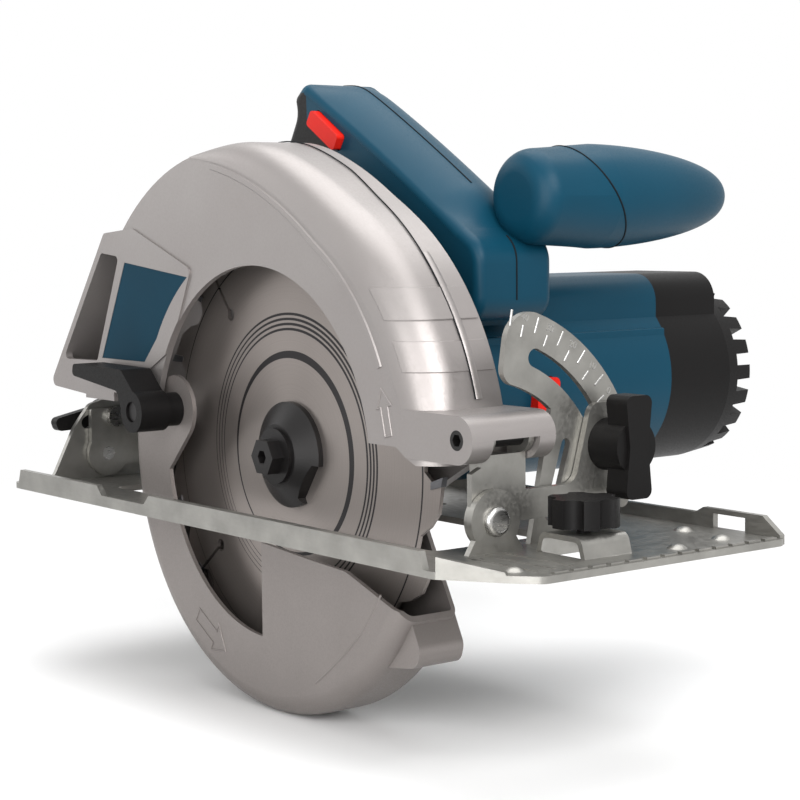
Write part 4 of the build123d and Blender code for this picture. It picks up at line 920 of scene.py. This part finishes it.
    def turning_sign(self) -> None:
        """Raise the arrow that shows which way the blade turns."""
        path, normal = on_side(self.turn_arrow.outline(), self.face_y)
        profile = raised(width=0.7, height=0.3, edge=0.2)
        self.saw.piece(bead("hood_arrow", path, normal, profile, True), CAST, Body.SAW)

    def build(self) -> None:
        """Make all of the hood's relief."""
        self.skin_rim()
        for number, ((low, high), rise) in enumerate(zip(self.pads_z, self.pad_lifts), 1):
            self.pad(f"hood_pad_{number}", low, high, rise)
        self.parting()
        self.rib()
        self.turning_sign()


@dataclass
class GuardRelief:
    """Cast relief on the lower guard: an arrow and a crease on its near side."""

    saw: Saw
    face_y: float = -15.0
    turn_arrow: Arrow = Arrow(tail=(-50.0, -45.0), tip=(-29.4, -57.0), shaft=6.0, head=13.0, neck=9.0)
    crease_r: float = 87.3
    crease_deg: Pair = (-30.0, -68.0)
    crease_rows: int = 48
    swing_out: float = 3.2
    swing_deg: Pair = (-50.0, -68.0)

    def build(self) -> None:
        """Make the arrow, and a crease that keeps a radius about the blade axis and then swings out."""
        # The arrow and crease take the cast finish darkened as painted shade, like the rest of the lower
        # guard
        path, normal = on_side(self.turn_arrow.outline(), self.face_y)
        profile = raised(width=0.8, height=0.3, edge=0.2)
        self.saw.piece(bead("lower_guard_arrow", path, normal, profile, True), CAST_PAINTED_SHADE, Body.GUARD)
        angle = np.radians(np.linspace(*self.crease_deg, self.crease_rows))
        radius = self.crease_r + self.swing_out * ramp(np.degrees(angle), *self.swing_deg) ** 2
        path, normal = on_side(about_hub(radius, angle), self.face_y)
        profile = raised(width=1.0, height=0.25, edge=0.35)
        self.saw.piece(bead("lower_guard_crease", path, normal, profile), CAST_PAINTED_SHADE, Body.GUARD)


@dataclass
class BevelScale:
    """Stamped scale on the quadrant: a line every five degrees and a number every ten.

    A line runs between two radii about the tilt axis, and is shorter and lower where a number stands over it.
    """

    saw: Saw
    face_x: float = 122.5
    axis_y: float = -4.5
    axis_z: float = 13.5
    zero_deg: float = 35.0
    last_deg: int = 45
    line_step: int = 5
    number_step: int = 10
    plain_ends: Pair = (67.6, 73.2)
    numbered_ends: Pair = (64.6, 68.8)
    number_r: float = 71.6
    number_mm: float = 3.6
    number_depth_mm: float = 0.15
    number_lean_deg: float = -20.0

    def place(self, radius: float, degrees: float) -> Triple:
        """Point on the quadrant's face at a radius and an angle from the tilt axis."""
        angle = math.radians(self.zero_deg + degrees)
        return (self.face_x, self.axis_y + radius * math.cos(angle), self.axis_z + radius * math.sin(angle))

    def number(self, degrees: int) -> bpy.types.Object:
        """Make one raised number.

        Args:
            degrees: the tilt it stands for.

        Returns:
            The number as a mesh object, at the origin.
        """
        curve = bpy.data.curves.new("number", "FONT")
        curve.body = str(degrees)
        curve.size = self.number_mm * MM
        curve.extrude = self.number_depth_mm * MM
        curve.align_x = "CENTER"
        curve.align_y = "CENTER"
        holder = bpy.data.objects.new("number", curve)
        mesh = bpy.data.meshes.new_from_object(holder)
        bpy.data.objects.remove(holder)
        upright = Matrix(((0, 0, 1), (1, 0, 0), (0, 1, 0))).to_4x4()
        lean = Matrix.Rotation(math.radians(self.number_lean_deg), 4, "X")
        middle = Vector(self.place(self.number_r, degrees)) * MM
        mesh.transform(Matrix.Translation(middle) @ lean @ upright)
        mesh.materials.clear()
        return settle(f"bevel_number_{degrees}", mesh)

    def build(self) -> None:
        """Stamp every line and number."""
        profile = raised(width=0.9, height=0.2, edge=0.2)
        for degrees in range(0, self.last_deg + 1, self.line_step):
            numbered = degrees % self.number_step == 0
            ends = self.numbered_ends if numbered else self.plain_ends
            path = np.array([self.place(radius, degrees) for radius in ends])
            outward = np.tile((1.0, 0.0, 0.0), (len(path), 1))
            self.saw.piece(bead(f"bevel_line_{degrees}", path, outward, profile), STEEL, Body.BASE)
            if numbered:
                self.saw.piece(self.number(degrees), STEEL, Body.BASE)


@dataclass
class HandleCrown:
    """Rounded back of the grip, and dark beads of painted shade along the parting lines on it, on the skirt
    and round the front grip.

    The grip's back is an arc seen from the side. Across it lies a parabola that leaves the grip's own edge
    rounding at the same slope on both sides and is highest over the parting line.
    """

    saw: Saw
    split_y: float = 57.0
    arc_centre: Pair = (-563.16, -809.13)
    arc_r: float = 1112.2
    front_x: float = 58.0
    rear_x: float = -42.0
    flat_half: float = 15.0
    edge_round: float = 4.0
    full_height: float = 6.9
    least_room: float = 0.01
    front_fade: float = 18.0
    skin_lift: float = 0.12
    skin_wall: float = 1.2
    skin_depth: float = 1.0
    back_rows: int = 90
    top_columns: int = 31
    edge_columns: int = 8
    slope_rounds: int = 6
    skirt_edge: tuple[Pair, ...] = ((63.2, 110.5), (69.0, 107.0), (69.0, 100.2))
    skirt_foot_z: float = 86.0
    skirt_rows: int = 16
    grip_seam_y: float = 92.0
    grip_seam_slant: float = 0.65
    grip_seam_reach: float = 0.05
    line_r: float = 0.35

    def back(self) -> tuple[np.ndarray, np.ndarray, np.ndarray]:
        """Work out the arc and the parabola's height along it.

        The height fades in from the front by a smooth step. At the rear it stays under the room left below
        the top of the whole saw: the product of the two over the fourth root of their fourth powers' sum.

        Returns:
            Points on the arc, their normals and the height at each.
        """
        x = np.linspace(self.front_x, self.rear_x, self.back_rows)
        away = x - self.arc_centre[0]
        rise = np.sqrt(self.arc_r**2 - away**2)
        points = np.column_stack((x, np.full(len(x), self.split_y), self.arc_centre[1] + rise))
        normals = np.column_stack((away, np.zeros(len(x)), rise)) / self.arc_r
        share = ramp(x, self.front_x, self.front_x - self.front_fade)
        height = self.full_height * share**2 * (3.0 - 2.0 * share)
        top = CAD_BOX[1][2] / MM - self.skin_lift - self.line_r
        room = np.maximum((top - points[:, 2]) / normals[:, 2], self.least_room)
        return points, normals, height * room / (height**4 + room**4) ** 0.25

    def edge(self, height: np.ndarray) -> tuple[np.ndarray, np.ndarray, np.ndarray]:
        """Half width and foot of the parabola where it leaves the edge rounding, and the angle there.

        Its slope there is twice the height over the half width. On the rounding that slope is reached at the
        angle with that tangent, which gives the half width back, so a few rounds settle it.

        Args:
            height: the parabola's height at each place.

        Returns:
            The half width, the foot's lift and the angle at each place.
        """
        half = np.full(len(height), self.flat_half)
        for _ in range(self.slope_rounds):
            turn = np.arctan(2.0 * height / half)
            half = self.flat_half + self.edge_round * np.sin(turn)
        return half, -self.edge_round * (1.0 - np.cos(turn)), turn

    def crown(self) -> None:
        """Skin the back and draw the parting line along its ridge as a dark bead of painted shade."""
        points, normals, height = self.back()
        half, foot, turn = self.edge(height)
        share = np.linspace(-1.0, 1.0, self.top_columns)[None]
        middle = foot[:, None] + height[:, None] * (1.0 - share**2) + self.skin_lift
        way_up = np.linspace(0.0, 1.0, self.edge_columns + 1)[None, :-1]
        bend = QUARTER + (turn[:, None] - QUARTER) * way_up
        ball = self.edge_round + self.skin_lift
        side_lift = ball * np.cos(bend) - self.edge_round
        side_across = self.flat_half + ball * np.sin(bend)
        top_lift = np.concatenate((side_lift, middle, side_lift[:, ::-1]), axis=1)
        top_across = np.concatenate((-side_across, half[:, None] * share, side_across[:, ::-1]), axis=1)
        under_lift = np.minimum(top_lift - self.skin_wall, -self.skin_depth)
        inset = 1.0 - self.skin_wall / self.flat_half
        lift = np.concatenate((top_lift, under_lift[:, ::-1]), axis=1)[:, :, None]
        across = np.concatenate((top_across, inset * top_across[:, ::-1]), axis=1)[:, :, None]
        loops = points[:, None] + across * np.array((0.0, 1.0, 0.0)) + lift * normals[:, None]
        self.saw.piece(skin("handle_crown", loops), BLUE, Body.SAW)
        ridge = points + (foot + height + self.skin_lift)[:, None] * normals
        shown = points[:, 0] < self.front_x - self.front_fade
        # Dark bead of painted shade along the parting line on the ridge
        line = bead("handle_top_seam_shade", ridge[shown], normals[shown], round_line(self.line_r))
        self.saw.piece(line, SHADOW, Body.SAW)

    def skirt(self) -> None:
        """Draw the parting line down the skirt's front as a dark bead of painted shade: a quadratic curve
        round its top edge, then straight.
        """
        share = np.linspace(0.0, 1.0, self.skirt_rows)[:, None]
        first, bend, last = (np.array(place) for place in self.skirt_edge)
        round_top = (1.0 - share) ** 2 * first + 2.0 * share * (1.0 - share) * bend + share**2 * last
        flat = np.concatenate((round_top, [(last[0], self.skirt_foot_z)]))
        step = np.gradient(flat, axis=0)
        step /= np.linalg.norm(step, axis=1, keepdims=True)
        outward = np.column_stack((-step[:, 1], np.zeros(len(step)), step[:, 0]))
        path = np.insert(flat, 1, self.split_y, axis=1)
        # Dark bead of painted shade for the gap of the skirt's parting line
        line = bead("handle_skirt_seam_shade", path, outward, round_line(self.line_r))
        self.saw.piece(line, SHADOW, Body.SAW)

    def ring(self) -> None:
        """Follow the rim of the front grip's slanted parting face, in order of angle about its middle, with a
        dark bead of painted shade.

        The rim is every corner of the grip that lies in the slanted plane. The grip's axis is as far below
        its top as it is from its sides.
        """
        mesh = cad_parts["front_grip"].data
        points = np.empty(len(mesh.vertices) * 3)
        mesh.vertices.foreach_get("co", points)
        points = points.reshape(-1, 3) / MM
        low, high = (np.array(corner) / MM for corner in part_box("front_grip"))
        axis_z = high[2] - (high[0] - low[0]) / 2
        middle = np.array(((low[0] + high[0]) / 2, self.grip_seam_y, axis_z))
        cut = np.array((0.0, 1.0, self.grip_seam_slant)) / math.hypot(1.0, self.grip_seam_slant)
        rim = points[np.abs((points - middle) @ cut) < self.grip_seam_reach]
        rim = np.unique(rim.round(3), axis=0)
        up = np.cross(cut, (1.0, 0.0, 0.0))
        angle = np.arctan2((rim - middle) @ up, (rim - middle)[:, 0])
        rim = rim[np.argsort(angle)]
        outward = rim - middle
        outward /= np.linalg.norm(outward, axis=1, keepdims=True)
        # Dark bead of painted shade round the front grip's parting face
        line = bead("front_grip_seam_shade", rim, outward, round_line(self.line_r), True)
        self.saw.piece(line, SHADOW, Body.SAW)

    def build(self) -> None:
        """Make the crown and draw the three lines of painted shade."""
        self.crown()
        self.skirt()
        self.ring()


@dataclass(frozen=True)
class Lamp:
    """Square softbox, with its place and width in metres and its power in watts."""

    name: str
    place: Triple
    width: float
    power: float

    def hang(self, aim: Vector) -> None:
        """Hang the lamp so that it faces a point.

        Args:
            aim: the point.
        """
        lamp = bpy.data.lights.new(self.name, "AREA")
        lamp.shape = "SQUARE"
        lamp.size = self.width
        lamp.energy = self.power
        holder = bpy.data.objects.new(self.name, lamp)
        bpy.context.collection.objects.link(holder)
        place = Vector(self.place)
        turn = (place - aim).to_track_quat("Z", "Y").to_matrix().to_4x4()
        holder.matrix_world = Matrix.Translation(place) @ turn


@dataclass
class Studio:
    """Camera at the photograph's angle, soft lamps, pale floor and a white surround."""

    camera_mm: Triple = (636.86, -438.92, 116.53)
    azimuth_deg: float = 52.3027
    elevation_deg: float = 5.2093
    roll_deg: float = -0.5612
    focal_pixels: float = 1962.73
    sensor_mm: float = 36.0
    aim: Triple = (0.0, 0.05, 0.06)
    lamps: tuple[Lamp, ...] = (
        Lamp("key_lamp", (0.85, -1.15, 0.32), width=1.2, power=22.0),
        Lamp("fill_lamp", (1.35, -0.20, 0.95), width=1.0, power=24.0),
        Lamp("top_lamp", (-0.20, 0.30, 1.60), width=1.6, power=24.0),
        Lamp("rear_lamp", (-1.2, -0.5, 0.6), width=0.9, power=3.0),
    )
    surround_light: float = 0.28
    surround_seen: float = 1.0
    floor_colour: str = "#f4f4f4"
    floor_r: float = 1.6
    floor_fade: Pair = (0.25, 0.75)
    floor_corners: int = 96

    def place_camera(self) -> None:
        """Stand the camera where the photograph was taken from."""
        angles = (self.azimuth_deg, self.elevation_deg, self.roll_deg)
        azimuth, elevation, roll = (math.radians(degrees) for degrees in angles)
        level = Vector((math.cos(azimuth), math.sin(azimuth), 0.0))
        run = math.cos(elevation)
        ahead = Vector((-math.sin(azimuth) * run, math.cos(azimuth) * run, -math.sin(elevation)))
        upward = level.cross(ahead)
        right = math.cos(roll) * level + math.sin(roll) * upward
        top = math.cos(roll) * upward - math.sin(roll) * level
        lens = bpy.data.cameras.new("photo_camera")
        lens.sensor_fit = "HORIZONTAL"
        lens.sensor_width = self.sensor_mm
        lens.lens = self.focal_pixels / IMAGE_PIXELS * lens.sensor_width
        camera = bpy.data.objects.new("photo_camera", lens)
        bpy.context.collection.objects.link(camera)
        turn = Matrix((right, top, -ahead)).transposed().to_4x4()
        camera.matrix_world = Matrix.Translation(Vector(self.camera_mm) * MM) @ turn
        bpy.context.scene.camera = camera

    def hang_lamps(self) -> None:
        """Hang softboxes that face the saw."""
        for lamp in self.lamps:
            lamp.hang(Vector(self.aim))

    def surround(self) -> None:
        """White surround: plain level for light, full white where the camera or a mirror looks at it."""
        world = bpy.data.worlds.new("white_surround")
        world.use_nodes = True
        tree = world.node_tree
        tree.nodes.clear()
        path = add_node(tree, "ShaderNodeLightPath").outputs
        seen = path["Is Camera Ray"]
        for ray in ("Is Glossy Ray", "Is Transmission Ray"):
            seen = add_node(tree, "ShaderNodeMath", {0: seen, 1: path[ray]}, operation="MAXIMUM").outputs[0]
        level = add_node(
            tree,
            "ShaderNodeMapRange",
            {"Value": seen, "To Min": self.surround_light, "To Max": self.surround_seen},
        )
        light = add_node(
            tree, "ShaderNodeBackground", {"Color": linear("#ffffff"), "Strength": level.outputs["Result"]}
        )
        add_node(tree, "ShaderNodeOutputWorld", {"Surface": light.outputs["Background"]})
        bpy.context.scene.world = world

    def lay_floor(self) -> None:
        """Lay a round pale floor under the lower guard that fades out into the surround."""
        turn = np.linspace(0.0, 2 * np.pi, self.floor_corners, endpoint=False)
        height = np.full_like(turn, CAD_BOX[0][2])
        rim = np.column_stack((self.floor_r * np.cos(turn), self.floor_r * np.sin(turn), height))
        mesh = bpy.data.meshes.new("floor")
        mesh.from_pydata(rim.tolist(), [], [tuple(range(len(turn)))])
        floor = bpy.data.objects.new("floor", mesh)
        bpy.context.collection.objects.link(floor)
        material = bpy.data.materials.new("pale_floor")
        material.use_nodes = True
        tree = material.node_tree
        tree.nodes.clear()
        place = add_node(tree, "ShaderNodeTexCoord").outputs["Object"]
        away = add_node(tree, "ShaderNodeVectorMath", {0: place}, operation="LENGTH").outputs["Value"]
        near, far = self.floor_fade
        fade = add_node(tree, "ShaderNodeMapRange", {"Value": away, "From Min": near, "From Max": far})
        pale = add_node(tree, "ShaderNodeBsdfDiffuse", {"Color": linear(self.floor_colour)})
        clear = add_node(tree, "ShaderNodeBsdfTransparent")
        both = add_node(
            tree,
            "ShaderNodeMixShader",
            {0: fade.outputs["Result"], 1: pale.outputs["BSDF"], 2: clear.outputs["BSDF"]},
        )
        add_node(tree, "ShaderNodeOutputMaterial", {"Surface": both.outputs["Shader"]})
        mesh.materials.append(material)

    def build(self) -> None:
        """Set up the whole studio."""
        self.place_camera()
        self.hang_lamps()
        self.surround()
        self.lay_floor()
        bpy.context.scene.view_settings.view_transform = "Standard"


def main() -> None:
    """Dress the saw and set up the studio."""
    logging.basicConfig(level=logging.INFO)
    saw = Saw()
    saw.dress()
    for detail in (HoodRelief(saw), GuardRelief(saw), BevelScale(saw), HandleCrown(saw)):
        detail.build()
    Studio().build()


if __name__ == "__main__":
    main()
